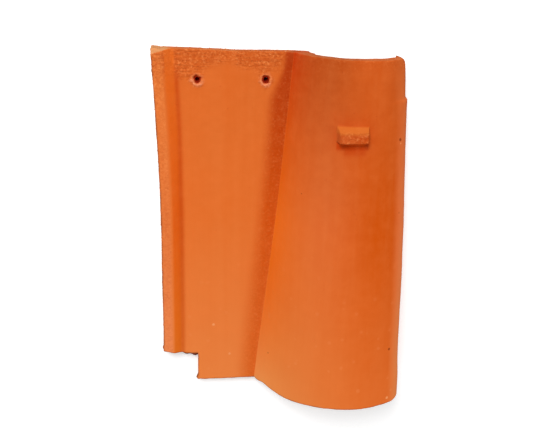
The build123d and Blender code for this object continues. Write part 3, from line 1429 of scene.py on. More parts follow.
    def grit(self, strip: Array, band: Array, torn: Array) -> Array:
        """How gritty the weathered face is.

        Args:
            strip: The rib's flat top.
            band: The pan's dark band, painted crease shade and partly a redder clay.
            torn: How torn the clay is at the head.

        Returns:
            The zone on the grid's points.
        """
        on_strip = strip * (self.grit_strip + self.grit_strip_at_head.at(self.from_head))
        on_lug = self.grit_lug * (self.skin.lug_lift > self.grit_lug)
        grit = np.maximum(on_strip, torn)
        grit = np.maximum(grit, self.grit_band * band)
        return np.maximum(grit, np.maximum(on_lug, self.near_nails()))

    def near_nails(self) -> Array:
        """How close each point of the weathered face is to a nail hole, ragged at its edge.

        Returns:
            The zone on the grid's points.
        """
        face = self.skin.upper
        near = np.zeros(face.shape[:2])
        noise_shift = cloud(face, self.grit_nails_size, 2, self.grit_nails_offset)
        for x, y in self.skin.sizes.nail_centres:
            reach = np.hypot(face[..., 0] - x, face[..., 1] - y)
            near = np.maximum(near, self.grit_nails.at(reach + self.grit_nails_ragged * noise_shift))
        return near

    def bore(self, depth: Array) -> Array:
        """The nail holes' walls, below their rims, painted dark as the shade inside the holes.

        Args:
            depth: Depth of each point's sheet.

        Returns:
            The zone on the mesh's points.
        """
        inside = np.zeros(len(depth), bool)
        for x, y in self.skin.sizes.nail_centres:
            reach = np.hypot(self.points.place[:, 0] - x, self.points.place[:, 1] - y)
            inside |= reach < self.skin.sizes.nail_radius + self.bore_reach
        ease = (depth - self.bore_start) / (self.bore_full - self.bore_start)
        return inside * np.clip(ease, 0.0, 1.0)

    def soot(self) -> Array:
        """Painted shade on the crumbs and ledges left on edges.

        Returns:
            The zone on the mesh's points.
        """
        unmoved = self.skin.upper.reshape(-1, 3)[self.points.cell]
        unmoved[:, 2] = self.points.place[:, 2]
        soot = np.max([spur.soot * spur.share(unmoved) for spur in self.skin.spurs], axis=0)
        return np.clip(self.soot_gain * soot, 0.0, 1.0)

    def arris(self) -> Array:
        """Painted shade along the left and tail edges, uneven along its length.

        Returns:
            The zone on the grid's points, in one row.
        """
        skin = self.skin
        x, y = skin.upper[..., 0], skin.upper[..., 1]
        from_left = x - x[skin.first_lines(), np.arange(x.shape[1])][None, :]
        from_tail = y - y[np.arange(x.shape[0]), skin.first_rows()][:, None]
        off = np.abs(np.minimum(from_left, from_tail))
        patches = cloud(skin.upper, self.arris_patch, 2, self.arris_offset)
        uneven = np.clip(self.arris_level + patches, self.arris_least, 1.0)
        return (np.exp(-((off / self.arris_line) ** 2)) * uneven).reshape(-1)

    def paleness(self) -> Array:
        """How pale the cut faces are: palest in patches along the head.

        Returns:
            The zone on the mesh's points.
        """
        sizes, place = self.skin.sizes, self.points.place
        at_head = place[:, 1] > sizes.head_y - 2.0 * sizes.head_out_of_square
        pale = np.full(len(place), self.pale_least)
        for patch in self.pale_patches:
            pale += patch.at(place[:, 0]) * at_head
        return np.clip(pale, 0.0, 1.0)


def tree_input(tree: bpy.types.NodeTree, name: str, kind: str) -> str:
    """Add a named input to a Geometry Nodes tree and give its identifier."""
    return tree.interface.new_socket(name, in_out="INPUT", socket_type=kind).identifier


@dataclass
class Signal:
    """A shader socket that adds Math nodes when it is used in an expression."""

    bench: "NodeBench"
    socket: bpy.types.NodeSocket

    def math(self, operation: str, *others: "Signal | float") -> "Signal":
        """Result of a Math node on this value and others."""
        return self.bench.math(operation, self, *others)

    def __add__(self, other: "Signal | float") -> "Signal":
        """Sum."""
        return self.bench.math("ADD", self, other)

    def __radd__(self, other: float) -> "Signal":
        """Sum with a number on the left."""
        return self.bench.math("ADD", other, self)

    def __sub__(self, other: "Signal | float") -> "Signal":
        """Difference."""
        return self.bench.math("SUBTRACT", self, other)

    def __rsub__(self, other: float) -> "Signal":
        """Difference from a number on the left."""
        return self.bench.math("SUBTRACT", other, self)

    def __mul__(self, other: "Signal | float") -> "Signal":
        """Product."""
        return self.bench.math("MULTIPLY", self, other)

    def __rmul__(self, other: float) -> "Signal":
        """Product with a number on the left."""
        return self.bench.math("MULTIPLY", other, self)


@dataclass
class NodeBench:
    """One node tree, with short ways to add nodes to it."""

    tree: bpy.types.NodeTree

    def node(self, kind: str, settings: dict | None = None, **inputs: object) -> bpy.types.Node:
        """Add a node, give it its settings, then set or link its inputs.

        Args:
            kind: The node's type.
            settings: Values of the node's own properties, and a ramp's stops.
            inputs: Values or signals of its sockets, spaces written as underscores.

        Returns:
            The new node.
        """
        node = self.tree.nodes.new(kind)
        for name, value in (settings or {}).items():
            if name == "stops":
                self.set_stops(node.color_ramp, value)
            else:
                setattr(node, name, value)
        for name, value in inputs.items():
            self.feed(node.inputs[name.replace("_", " ")], value)
        return node

    def set_stops(self, ramp: bpy.types.ColorRamp, stops: tuple[tuple[float, float], ...]) -> None:
        """Give a ramp its two grey stops.

        Args:
            ramp: The ramp.
            stops: Place and level of each stop.
        """
        for element, (place, level) in zip(ramp.elements, stops):
            element.position = place
            element.color = (level, level, level, 1.0)

    def feed(self, socket: bpy.types.NodeSocket, value: object) -> None:
        """Link a signal to a socket, or set the socket's own value.

        Args:
            socket: The socket.
            value: A signal to link, or a plain value.
        """
        if isinstance(value, Signal):
            self.tree.links.new(value.socket, socket)
        else:
            socket.default_value = value

    def math(self, operation: str, *values: "Signal | float") -> Signal:
        """Result of a Math node.

        Args:
            operation: The node's operation.
            values: What it works on.

        Returns:
            The result.
        """
        node = self.node("ShaderNodeMath", {"operation": operation})
        for socket, value in zip(node.inputs, values):
            self.feed(socket, value)
        return Signal(self, node.outputs[0])

    def mix(self, share: Signal, first: object, second: object) -> Signal:
        """Two colours mixed by a share.

        Args:
            share: How much of the second colour there is.
            first: Colour where the share is 0.
            second: Colour where the share is 1.

        Returns:
            The mixed colour.
        """
        node = self.node("ShaderNodeMix", {"data_type": "RGBA", "clamp_factor": True})
        self.feed(node.inputs[0], share)
        self.feed(node.inputs[6], first)
        self.feed(node.inputs[7], second)
        return Signal(self, node.outputs[2])

    def attribute(self, name: str) -> Signal:
        """Value of one of the piece's own attributes."""
        node = self.node("ShaderNodeAttribute", {"attribute_name": name})
        return Signal(self, node.outputs["Fac"])

    def noise(self, place: Signal, scale: float, detail: float = 3.0, rough: float = 0.55) -> Signal:
        """Cloudy noise.

        Args:
            place: Where the noise is read.
            scale: Lumps to the metre.
            detail: Number of finer layers added.
            rough: How strong the finer layers are.

        Returns:
            The noise, from 0 to 1.
        """
        inputs = {"Vector": place, "Scale": scale, "Detail": detail, "Roughness": rough}
        return Signal(self, self.node("ShaderNodeTexNoise", **inputs).outputs["Fac"])

    def ramp(self, value: Signal, *stops: tuple[float, float]) -> Signal:
        """A value passed through two grey stops, each a place and a level."""
        node = self.node("ShaderNodeValToRGB", {"stops": stops}, Fac=value)
        return Signal(self, node.outputs["Color"])

    def cell_pick(self, cells: bpy.types.Node) -> Signal:
        """A random value from 0 to 1 for each cell of a cell pattern."""
        pick = self.node("ShaderNodeSeparateColor", Color=Signal(self, cells.outputs["Color"]))
        return Signal(self, pick.outputs["Red"])


@dataclass(frozen=True)
class Cloudiness:
    """Cloudy noise, in lumps to the metre, that is 0 below one level and 1 above another."""

    scale: float
    low: float
    high: float
    detail: float = 4.0
    rough: float = 0.55
    stretch: tuple[float, float, float] | None = None

    def on(self, place: Signal) -> Signal:
        """Mask of the noise.

        Args:
            place: Where the noise is read.

        Returns:
            The mask, from 0 to 1.
        """
        bench = place.bench
        if self.stretch:
            stretched = bench.node("ShaderNodeMapping", Vector=place, Scale=self.stretch)
            place = Signal(bench, stretched.outputs[0])
        noise_level = bench.noise(place, self.scale, self.detail, self.rough)
        return bench.ramp(noise_level, (self.low, 0.0), (self.high, 1.0))


@dataclass(frozen=True)
class Spots:
    """Small scattered spots: cells to the metre, and shares of a cell and of the cells."""

    scale: float
    size: float
    rare: float
    edge: float = 1.8

    def on(self, place: Signal) -> Signal:
        """Mask of the spots.

        Args:
            place: Where the pattern is read.

        Returns:
            A mask that is 1 inside the spots.
        """
        bench = place.bench
        cells = bench.node("ShaderNodeTexVoronoi", {"feature": "F1"}, Vector=place, Scale=self.scale)
        chosen = bench.cell_pick(cells).math("LESS_THAN", self.rare)
        near = Signal(bench, cells.outputs["Distance"])
        return bench.ramp(near, (self.size, 1.0), (self.size * self.edge, 0.0)) * chosen


@dataclass(frozen=True)
class ClayMark:
    """A small crumb or pit in the weathered face, in metres."""

    place: tuple[float, float, float]
    radius: float
    pale: bool
    ragged: float = 0.8
    ragged_scale: float = 600.0
    edge: float = 2.5

    def on(self, place: Signal) -> Signal:
        """Mask of the mark, ragged at its edge.

        Args:
            place: Where the mask is read.

        Returns:
            A mask that is 1 inside the mark.
        """
        bench = place.bench
        gap = bench.node("ShaderNodeVectorMath", {"operation": "DISTANCE"})
        bench.feed(gap.inputs[0], place)
        bench.feed(gap.inputs[1], self.place)
        ragged = (bench.noise(place, self.ragged_scale) - 0.5) * (self.ragged * self.radius)
        away = (Signal(bench, gap.outputs["Value"]) + ragged) * (1.0 / self.radius)
        return ((1.0 - away) * self.edge).math("MINIMUM", 1.0).math("MAXIMUM", 0.0)


@dataclass(frozen=True)
class Shade:
    """A clay colour at the tile's head, near its middle and at its tail."""

    head: Colour
    middle: Colour
    tail: Colour


@dataclass(frozen=True)
class TerracottaFinish:
    """Unglazed fired clay: body colour that is darker and redder towards the head, zones with painted
    light and shade, sandy grain and crumbs.

    A share says how much of a colour lies over what is below it. Depths are in
    metres, and scales in lumps to the metre.
    """

    pan: Shade = Shade(
        (0.572, 0.112, 0.016, 1.0), (0.702, 0.152, 0.024, 1.0), (0.850, 0.236, 0.054, 1.0)
    )
    # Crease band: painted shade in the crease, partly a redder clay there.
    band: Shade = Shade(
        (0.315, 0.019, 0.0, 1.0), (0.580, 0.072, 0.001, 1.0), (0.755, 0.152, 0.019, 1.0)
    )
    # Roll's flank beside the crease: painted light.
    flank: Shade = Shade(
        (0.490, 0.024, 0.0, 1.0), (0.860, 0.170, 0.008, 1.0), (1.0, 0.400, 0.110, 1.0)
    )
    roll: Shade = Shade(
        (0.350, 0.052, 0.005, 1.0), (0.642, 0.130, 0.030, 1.0), (0.780, 0.192, 0.039, 1.0)
    )
    # Roll's far side: a colour of its own that paints in the shading there.
    lee: Shade = Shade(
        (0.498, 0.079, 0.009, 1.0), (0.558, 0.073, 0.001, 1.0), (0.732, 0.144, 0.021, 1.0)
    )
    # Roll's right edge: painted highlight, as the bright surroundings light it edge-on.
    rim: Shade = Shade(
        (0.600, 0.120, 0.022, 1.0), (0.850, 0.240, 0.085, 1.0), (0.900, 0.305, 0.095, 1.0)
    )
    strip: Shade = Shade(
        (0.670, 0.170, 0.033, 1.0), (0.720, 0.176, 0.041, 1.0), (0.920, 0.278, 0.096, 1.0)
    )
    # Rib's inner slope: partly painted shading, partly a more saturated clay.
    slope: Shade = Shade(
        (0.685, 0.130, 0.012, 1.0), (0.706, 0.112, 0.004, 1.0), (0.795, 0.186, 0.011, 1.0)
    )
    # Rib's foot: painted shade in the concave foot of the rib.
    foot: Shade = Shade(
        (0.440, 0.044, 0.001, 1.0), (0.505, 0.054, 0.0, 1.0), (0.645, 0.120, 0.010, 1.0)
    )
    flame: Colour = (0.740, 0.110, 0.008, 1.0)
    dust: Colour = (0.830, 0.215, 0.050, 1.0)
    # Lug's head-side ramp: painted light where it faces the lamp, partly a smoother, yellower clay.
    ramp: Colour = (0.570, 0.130, 0.018, 1.0)
    # Painted shadow below and round the lug, and a darker tone on the lug's top.
    lug_dark_and_shadow: Colour = (0.420, 0.030, 0.0, 1.0)
    # Warm red painted into the lug's shadow at its tail foot.
    lug_shadow_red: Colour = (0.980, 0.130, 0.0, 1.0)
    broken: Colour = (0.670, 0.290, 0.110, 1.0)
    pale_crumb: Colour = (0.920, 0.310, 0.095, 1.0)
    # Painted highlight on the raised tail-side lip of each nail crater.
    nail_lip_highlight: Colour = (0.930, 0.360, 0.185, 1.0)
    # Dark red of grain pits and drag lines, and the painted shade in the nail dishes.
    dark_pit: Colour = (0.430, 0.055, 0.006, 1.0)
    # Painted shade of the hole, spread onto the face round its mouth.
    mouth: Colour = (0.330, 0.016, 0.002, 1.0)
    # Painted shade on the nail holes' walls.
    bore: Colour = (0.300, 0.010, 0.002, 1.0)
    # Painted shade on edge crumbs and the notch's ledge.
    soot: Colour = (0.200, 0.003, 0.003, 1.0)
    # Painted shade along the left and tail edges.
    edge_shade: Colour = (0.260, 0.070, 0.018, 1.0)
    freckle: Colour = (0.880, 0.330, 0.120, 1.0)
    speck: Colour = (0.260, 0.038, 0.004, 1.0)
    marks: tuple[ClayMark, ...] = (
        ClayMark((-0.0851, -0.1352, 0.013), 0.0022, True),
        ClayMark((-0.0645, -0.1799, 0.013), 0.0020, True),
        ClayMark((0.1326, -0.2105, 0.079), 0.0022, True),
        ClayMark((0.1300, 0.1170, 0.048), 0.0015, True),
        ClayMark((0.1288, 0.1216, 0.048), 0.0024, False),
        ClayMark((0.1314, -0.1421, 0.073), 0.0020, False),
    )
    per_length: float = 2.31
    middle_at: float = 0.47
    flank_late: float = 3.0
    clouds: Cloudiness = Cloudiness(14.0, 0.35, 0.7)
    mottles: Cloudiness = Cloudiness(75.0, 0.4, 0.7)
    clumps: Cloudiness = Cloudiness(300.0, 0.36, 0.66, detail=3.0, rough=0.6)
    drawn_lines: Cloudiness = Cloudiness(95.0, 0.38, 0.64, rough=0.6, stretch=(1.0, 0.03, 1.0))
    drag_lines: Cloudiness = Cloudiness(420.0, 0.42, 0.62, 2.0, 0.5, stretch=(0.10, 1.0, 1.0))
    freckles: Spots = Spots(scale=130.0, size=0.22, rare=0.07)
    specks: Spots = Spots(scale=60.0, size=0.05, rare=0.010)
    rib_foot_shade_share: float = 0.85
    lug_top_share: float = 0.35
    lug_foot_share: float = 0.8
    cloud_share: float = 0.10
    mottle_share: float = 0.10
    drawn_dust_share: float = 0.08
    drawn_flame_share: float = 0.06
    pit_share: float = 0.58
    pit_fall: float = 2.0
    crumb_share: float = 0.60
    crumb_fall: float = 4.0
    drag_share: float = 0.24
    broken_share: float = 0.6
    broken_mottle_share: float = 0.4
    arris_shade_share: float = 0.9
    bevel_share: float = 0.9
    dish_shade_share: float = 0.5
    nail_lip_highlight_share: float = 0.6
    freckle_share: float = 0.16
    mark_share: float = 0.9
    speck_share: float = 0.8
    grains: float = 560.0
    grain_share: float = 0.5
    roughness: float = 0.85
    roughness_spread: float = 0.12
    roughness_scale: float = 90.0
    sheen_level: float = 0.06
    fine_scale: float = 1300.0
    fine_rough: float = 0.6
    coarse_scale: float = 160.0
    grain_depth: float = 0.00012
    sand_depth: float = 0.0005
    drag_depth: float = 0.0003

    def material(self) -> bpy.types.Material:
        """Build the material.

        Returns:
            The material.
        """
        material = bpy.data.materials.new("fired_clay_skin")
        material.use_nodes = True
        material.node_tree.nodes.clear()
        bench = NodeBench(material.node_tree)
        place = Signal(bench, bench.node("ShaderNodeTexCoord").outputs["Object"])
        grit = bench.attribute("grit_zone")
        sand = self.sand(place)
        dragged = self.drag_lines.on(place) * bench.attribute("head_band")
        colour, towards_tail = self.zoned_colour(place)
        colour = self.weathered(place, colour, grit, sand, dragged)
        colour = self.spotted(place, colour, towards_tail)
        height = self.height(place, grit, sand, dragged)
        bump = bench.node("ShaderNodeBump", Strength=1.0, Distance=1.0, Height=height)
        uneven = bench.noise(place, self.roughness_scale) - 0.5
        shader = bench.node(
            "ShaderNodeBsdfPrincipled",
            Base_Color=colour,
            Roughness=self.roughness + self.roughness_spread * uneven,
            Normal=Signal(bench, bump.outputs["Normal"]),
        )
        shader.inputs["Specular IOR Level"].default_value = self.sheen_level
        output = bench.node("ShaderNodeOutputMaterial")
        bench.tree.links.new(shader.outputs["BSDF"], output.inputs["Surface"])
        return material

    def sand(self, place: Signal) -> Signal:
        """Coarse sandy grain.

        Args:
            place: Where the grain is read.

        Returns:
            The grain, from 0 in the pits to 1 on the crumbs.
        """
        bench = place.bench
        cells = bench.node("ShaderNodeTexVoronoi", {"feature": "F1"}, Vector=place, Scale=self.grains)
        clumps = self.clumps.on(place)
        return bench.cell_pick(cells) * self.grain_share + clumps * (1.0 - self.grain_share)

    def zoned_colour(self, place: Signal) -> tuple[Signal, Signal]:
        """Colour of each part of the tile, darker and redder towards the head, with light and shade
        painted into several zones.

        Args:
            place: Where the colour is read.

        Returns:
            The colour, and the share of the way from near the middle to the tail.
        """
        bench = place.bench
        split = bench.node("ShaderNodeSeparateXYZ", Vector=place)
        from_head = 0.5 - Signal(bench, split.outputs["Y"]) * self.per_length
        from_head = from_head.math("MAXIMUM", 0.0)
        first = (from_head * (1.0 / self.middle_at)).math("MINIMUM", 1.0)
        second = (from_head - self.middle_at) * (1.0 / (1.0 - self.middle_at))
        second = second.math("MAXIMUM", 0.0)

        def shaded(shade: Shade, towards_tail: Signal = second) -> Signal:
            """Colour of a shade at each point along the tile."""
            return bench.mix(towards_tail, bench.mix(first, shade.head, shade.middle), shade.tail)

        body = self.laid(
            shaded(self.pan),
            ("roll_zone", 1.0, shaded(self.roll)),
            ("band_zone", 1.0, shaded(self.band)),
            ("lee_zone", 1.0, shaded(self.lee)),
            ("flank_zone", 1.0, shaded(self.flank, second.math("POWER", self.flank_late))),
            ("rim_zone", 1.0, shaded(self.rim)),
            ("rib_slope", 1.0, shaded(self.slope)),
            ("rib_foot", self.rib_foot_shade_share, shaded(self.foot)),
            ("strip_zone", 1.0, shaded(self.strip)),
            ("lug_top", self.lug_top_share, self.lug_dark_and_shadow),
            ("lug_ramp", 1.0, self.ramp),
            # painted cast shadow of the lug on the roll
            ("lug_shade", 1.0, self.lug_dark_and_shadow),
            ("lug_foot", self.lug_foot_share, self.lug_shadow_red),
        )
        return body, second

    def laid(self, body: Signal, *layers: tuple[str, float, object]) -> Signal:
        """Lay colours over another, each on its own zone.

        Args:
            body: The colour below.
            layers: Zone, share and colour of each layer, from the lowest up.

        Returns:
            The new colour.
        """
        for zone, share, colour in layers:
            body = body.bench.mix(body.bench.attribute(zone) * share, body, colour)
        return body

    def weathered(
        self, place: Signal, body: Signal, grit: Signal, sand: Signal, dragged: Signal
    ) -> Signal:
        """Lay clouds, grain, drag lines, broken faces and worn edges over the colour.

        Args:
            place: Where the colour is read.
            body: The colour below.
            grit: How gritty each point is.
            sand: The sandy grain.
            dragged: The drag lines along the head.

        Returns:
            The new colour.
        """
        bench = place.bench
        mottled = self.mottles.on(place)
        drawn = self.drawn_lines.on(place)
        pits = grit * (1.0 - sand).math("POWER", self.pit_fall)
        crumbs = grit * sand.math("POWER", self.crumb_fall)
        body = bench.mix(self.clouds.on(place) * self.cloud_share, body, self.flame)
        body = bench.mix(mottled * self.mottle_share, body, self.dust)
        body = bench.mix(drawn * self.drawn_dust_share, body, self.dust)
        body = bench.mix((1.0 - drawn) * self.drawn_flame_share, body, self.flame)
        body = bench.mix(pits * self.pit_share, body, self.dark_pit)
        body = bench.mix(crumbs * self.crumb_share, body, self.pale_crumb)
        body = bench.mix(dragged * self.drag_share, body, self.dark_pit)
        patchy = self.broken_share + mottled * self.broken_mottle_share
        body = bench.mix(bench.attribute("broken_face") * patchy, body, self.broken)
        return self.laid(
            body,
            ("arris", self.arris_shade_share, self.edge_shade),
            ("soot", 1.0, self.soot),
            ("bevel", self.bevel_share, self.broken),
            # painted shade in the nail holes' dished craters
            ("nail_dish", self.dish_shade_share, self.dark_pit),
            ("nail_rim", self.nail_lip_highlight_share, self.nail_lip_highlight),
            ("nail_mouth", 1.0, self.mouth),
            ("bore", 1.0, self.bore),
        )

    def spotted(self, place: Signal, body: Signal, towards_tail: Signal) -> Signal:
        """Lay freckles, single marks and specks over the colour.

        Args:
            place: Where the colour is read.
            body: The colour below.
            towards_tail: Share of the way from near the middle to the tail.

        Returns:
            The new colour.
        """
        bench = place.bench
        freckles = self.freckles.on(place) * towards_tail
        body = bench.mix(freckles * self.freckle_share, body, self.freckle)
        for mark in self.marks:
            tone = self.freckle if mark.pale else self.speck
            body = bench.mix(mark.on(place) * self.mark_share, body, tone)
        return bench.mix(self.specks.on(place) * self.speck_share, body, self.speck)

    def height(self, place: Signal, grit: Signal, sand: Signal, dragged: Signal) -> Signal:
        """Height of the sandy grain and the drag lines.

        Args:
            place: Where the height is read.
            grit: How gritty each point is.
            sand: The sandy grain.
            dragged: The drag lines along the head.

        Returns:
            The height in metres.
        """
        fine = place.bench.noise(place, self.fine_scale, rough=self.fine_rough)
        coarse = place.bench.noise(place, self.coarse_scale)
        grain = (fine + coarse) * self.grain_depth
        return grain + sand * grit * self.sand_depth + dragged * self.drag_depth


@dataclass
class FiredSurface:
    """Geometry Nodes that weather the skin and strew it with crumbs of grit.

    Depths and the crumb's size are in metres, and crumbs are counted to the
    square metre.
    """

    wave_depth: float = 0.0009
    wave_size: float = 14.0
    pit_depth: float = 0.0005
    pit_size: float = 140.0
    pit_least: float = 0.25
    under_calm: float = 0.8
    crumbs: float = 90000.0
    crumbs_least: float = 0.01
    crumbs_gather: float = 2.0
    crumb_size: float = 0.00055
    crumb_range: tuple[float, float] = (0.45, 1.2)
    seed: int = 11

    def tree(self) -> tuple[bpy.types.NodeTree, dict[str, str]]:
        """Build the node tree.

        Returns:
            The tree, and the identifier of each of its named inputs.
        """
        tree = bpy.data.node_groups.new("fired_surface", "GeometryNodeTree")
        tree.interface.new_socket("Geometry", in_out="OUTPUT", socket_type="NodeSocketGeometry")
        tree_input(tree, "Geometry", "NodeSocketGeometry")
        names = ("Wave Depth", "Wave Size", "Pit Depth", "Pit Size", "Crumbs", "Crumb Size")
        ids = {name: tree_input(tree, name, "NodeSocketFloat") for name in names}
        ids["Seed"] = tree_input(tree, "Seed", "NodeSocketInt")
        ids["Finish"] = tree_input(tree, "Finish", "NodeSocketMaterial")
        bench = NodeBench(tree)
        source = bench.node("NodeGroupInput")
        read = {name: Signal(bench, source.outputs[name]) for name in ("Geometry", *ids)}
        grit = self.named(bench, "grit_zone")
        weathered = self.weathered(bench, grit, read)
        crumbs = self.strewn(bench, weathered, grit, read)
        join = bench.node("GeometryNodeJoinGeometry")
        tree.links.new(crumbs.socket, join.inputs[0])
        tree.links.new(weathered.socket, join.inputs[0])
        joined = Signal(bench, join.outputs[0])
        realized = Signal(bench, bench.node("GeometryNodeRealizeInstances", Geometry=joined).outputs[0])
        dressed = bench.node("GeometryNodeSetMaterial", Geometry=realized, Material=read["Finish"])
        end = bench.node("NodeGroupOutput")
        tree.links.new(dressed.outputs[0], end.inputs[0])
        return tree, ids

    def named(self, bench: NodeBench, name: str) -> Signal:
        """Value of one of the skin's attributes."""
        node = bench.node("GeometryNodeInputNamedAttribute", {"data_type": "FLOAT"}, Name=name)
        return Signal(bench, node.outputs[0])

    def relief(self, bench: NodeBench, size: Signal) -> Signal:
        """Cloudy height from -1 to 1."""
        node = bench.node("ShaderNodeTexNoise", Scale=size, Detail=2.0)
        return (Signal(bench, node.outputs[0]) - 0.5) * 2.0

    def weathered(self, bench: NodeBench, grit: Signal, read: dict[str, Signal]) -> Signal:
        """The skin with shallow waves and pits, calmer on its underside.

        Args:
            bench: The tree's node bench.
            grit: How gritty each point of the skin is.
            read: The tree's named inputs.

        Returns:
            The weathered skin.
        """
        under = self.named(bench, "underside")
        waves = self.relief(bench, read["Wave Size"]) * read["Wave Depth"]
        pits = self.relief(bench, read["Pit Size"]) * read["Pit Depth"] * (self.pit_least + grit)
        shift = bench.node("ShaderNodeVectorMath", {"operation": "SCALE"})
        normal = bench.node("GeometryNodeInputNormal")
        bench.feed(shift.inputs[0], Signal(bench, normal.outputs[0]))
        bench.feed(shift.inputs["Scale"], (waves + pits) * (1.0 - under * self.under_calm))
        offset = Signal(bench, shift.outputs[0])
        skin = bench.node("GeometryNodeSetPosition", Geometry=read["Geometry"], Offset=offset)
        return Signal(bench, skin.outputs[0])

    def strewn(self, bench: NodeBench, skin: Signal, grit: Signal, read: dict[str, Signal]) -> Signal:
        """Crumbs scattered where the clay is gritty.

        Args:
            bench: The tree's node bench.
            skin: The surface to strew.
            grit: How gritty each point of it is.
            read: The tree's named inputs.

        Returns:
            The crumbs as instances.
        """
        gathered = grit.math("POWER", self.crumbs_gather) + self.crumbs_least
        spread = bench.node(
            "GeometryNodeDistributePointsOnFaces",
            {"distribute_method": "RANDOM"},
            Mesh=skin,
            Density=read["Crumbs"] * gathered,
            Seed=read["Seed"],
        )
        ball = bench.node("GeometryNodeMeshIcoSphere", Radius=1.0, Subdivisions=1)
        turn = bench.node("FunctionNodeRandomValue", {"data_type": "FLOAT_VECTOR"}, Seed=read["Seed"])
        turn.inputs["Max"].default_value = (math.tau, math.tau, math.tau)
        width = bench.node("FunctionNodeRandomValue", {"data_type": "FLOAT"}, Seed=read["Seed"])
        width.inputs[2].default_value, width.inputs[3].default_value = self.crumb_range
        placed = bench.node(
            "GeometryNodeInstanceOnPoints",
            Points=Signal(bench, spread.outputs["Points"]),
            Instance=Signal(bench, ball.outputs["Mesh"]),
            Rotation=Signal(bench, turn.outputs[0]),
            Scale=Signal(bench, width.outputs[1]) * read["Crumb Size"],
        )
        return Signal(bench, placed.outputs[0])

    def applied(self, piece: bpy.types.Object, finish: bpy.types.Material) -> None:
        """Run the tree on a piece and keep the result as its plain mesh.

        Args:
            piece: The piece to weather.
            finish: Material of the skin and the crumbs.
        """
        tree, ids = self.tree()
        modifier = piece.modifiers.new("weathering", "NODES")
        modifier.node_group = tree
        values = {
            "Wave Depth": self.wave_depth,
            "Wave Size": self.wave_size,
            "Pit Depth": self.pit_depth,
            "Pit Size": self.pit_size,
            "Crumbs": self.crumbs,
            "Crumb Size": self.crumb_size,
            "Seed": self.seed,
            "Finish": finish,
        }
        for name, value in values.items():
            modifier[ids[name]] = value
        graph = bpy.context.evaluated_depsgraph_get()
        mesh = bpy.data.meshes.new_from_object(piece.evaluated_get(graph), depsgraph=graph)
        piece.modifiers.remove(modifier)
        piece.data = mesh


@dataclass
class RoofTile:
    """The tile itself: its skin, the zones on it, its weathering and its finish."""

    skin: TileSkin
    surface: FiredSurface
    finish: TerracottaFinish

    def build(self) -> bpy.types.Object:
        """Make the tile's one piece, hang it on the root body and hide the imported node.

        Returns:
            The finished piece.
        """
        mesh, points = self.skin.mesh(PIECE)
        ClayZones(self.skin, points).paint(mesh)
        piece = bpy.data.objects.new(PIECE, mesh)
        bpy.context.scene.collection.objects.link(piece)
        self.dress(piece)
        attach(piece, BODY)
        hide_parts(NODE)
        return piece

    def dress(self, piece: bpy.types.Object) -> None:
        """Weather the piece and give it its finish.

        Args:
            piece: The piece to dress.
        """
        self.surface.applied(piece, self.finish.material())
        for polygon in piece.data.polygons:
            polygon.use_smooth = True


class LampRole(Enum):
    """What each studio lamp is for."""

    KEY = "key"
    FILL = "fill"


@dataclass(frozen=True)
class Lamp:
    """A square soft lamp that looks at the tile, in metres and watts."""

    role: LampRole
    place: tuple[float, float, float]
    power: float
    side: float

    def build(self) -> None:
        """Hang the lamp and turn it to the tile."""
        data = bpy.data.lights.new(f"{self.role.value}_lamp", "AREA")
        data.energy = self.power
        data.size = self.side
        lamp = bpy.data.objects.new(data.name, data)
        lamp.location = self.place
        lamp.rotation_euler = (-Vector(self.place)).to_track_quat("-Z", "Y").to_euler()
        bpy.context.scene.collection.objects.link(lamp)


@dataclass(frozen=True)
class FloorPatch:
    """A patch of floor that lies well under the tile, in metres."""

    centre: tuple[float, float]
    half: tuple[float, float]
    edge: float = 0.01

    def on(self, bench: NodeBench) -> Signal:
        """Mask of the patch.

        Args:
            bench: The floor material's node bench.

        Returns:
            A mask that is 1 inside the patch.
        """
        place = bench.node("ShaderNodeTexCoord")
        split = bench.node("ShaderNodeSeparateXYZ", Vector=Signal(bench, place.outputs["Object"]))
        inside = []
        for axis, middle, reach in zip("XY", self.centre, self.half):
            off = (Signal(bench, split.outputs[axis]) - middle).math("ABSOLUTE")
            inside.append((off - reach).math("DIVIDE", -self.edge).math("MINIMUM", 1.0))
        return inside[0].math("MINIMUM", inside[1]).math("MAXIMUM", 0.0)


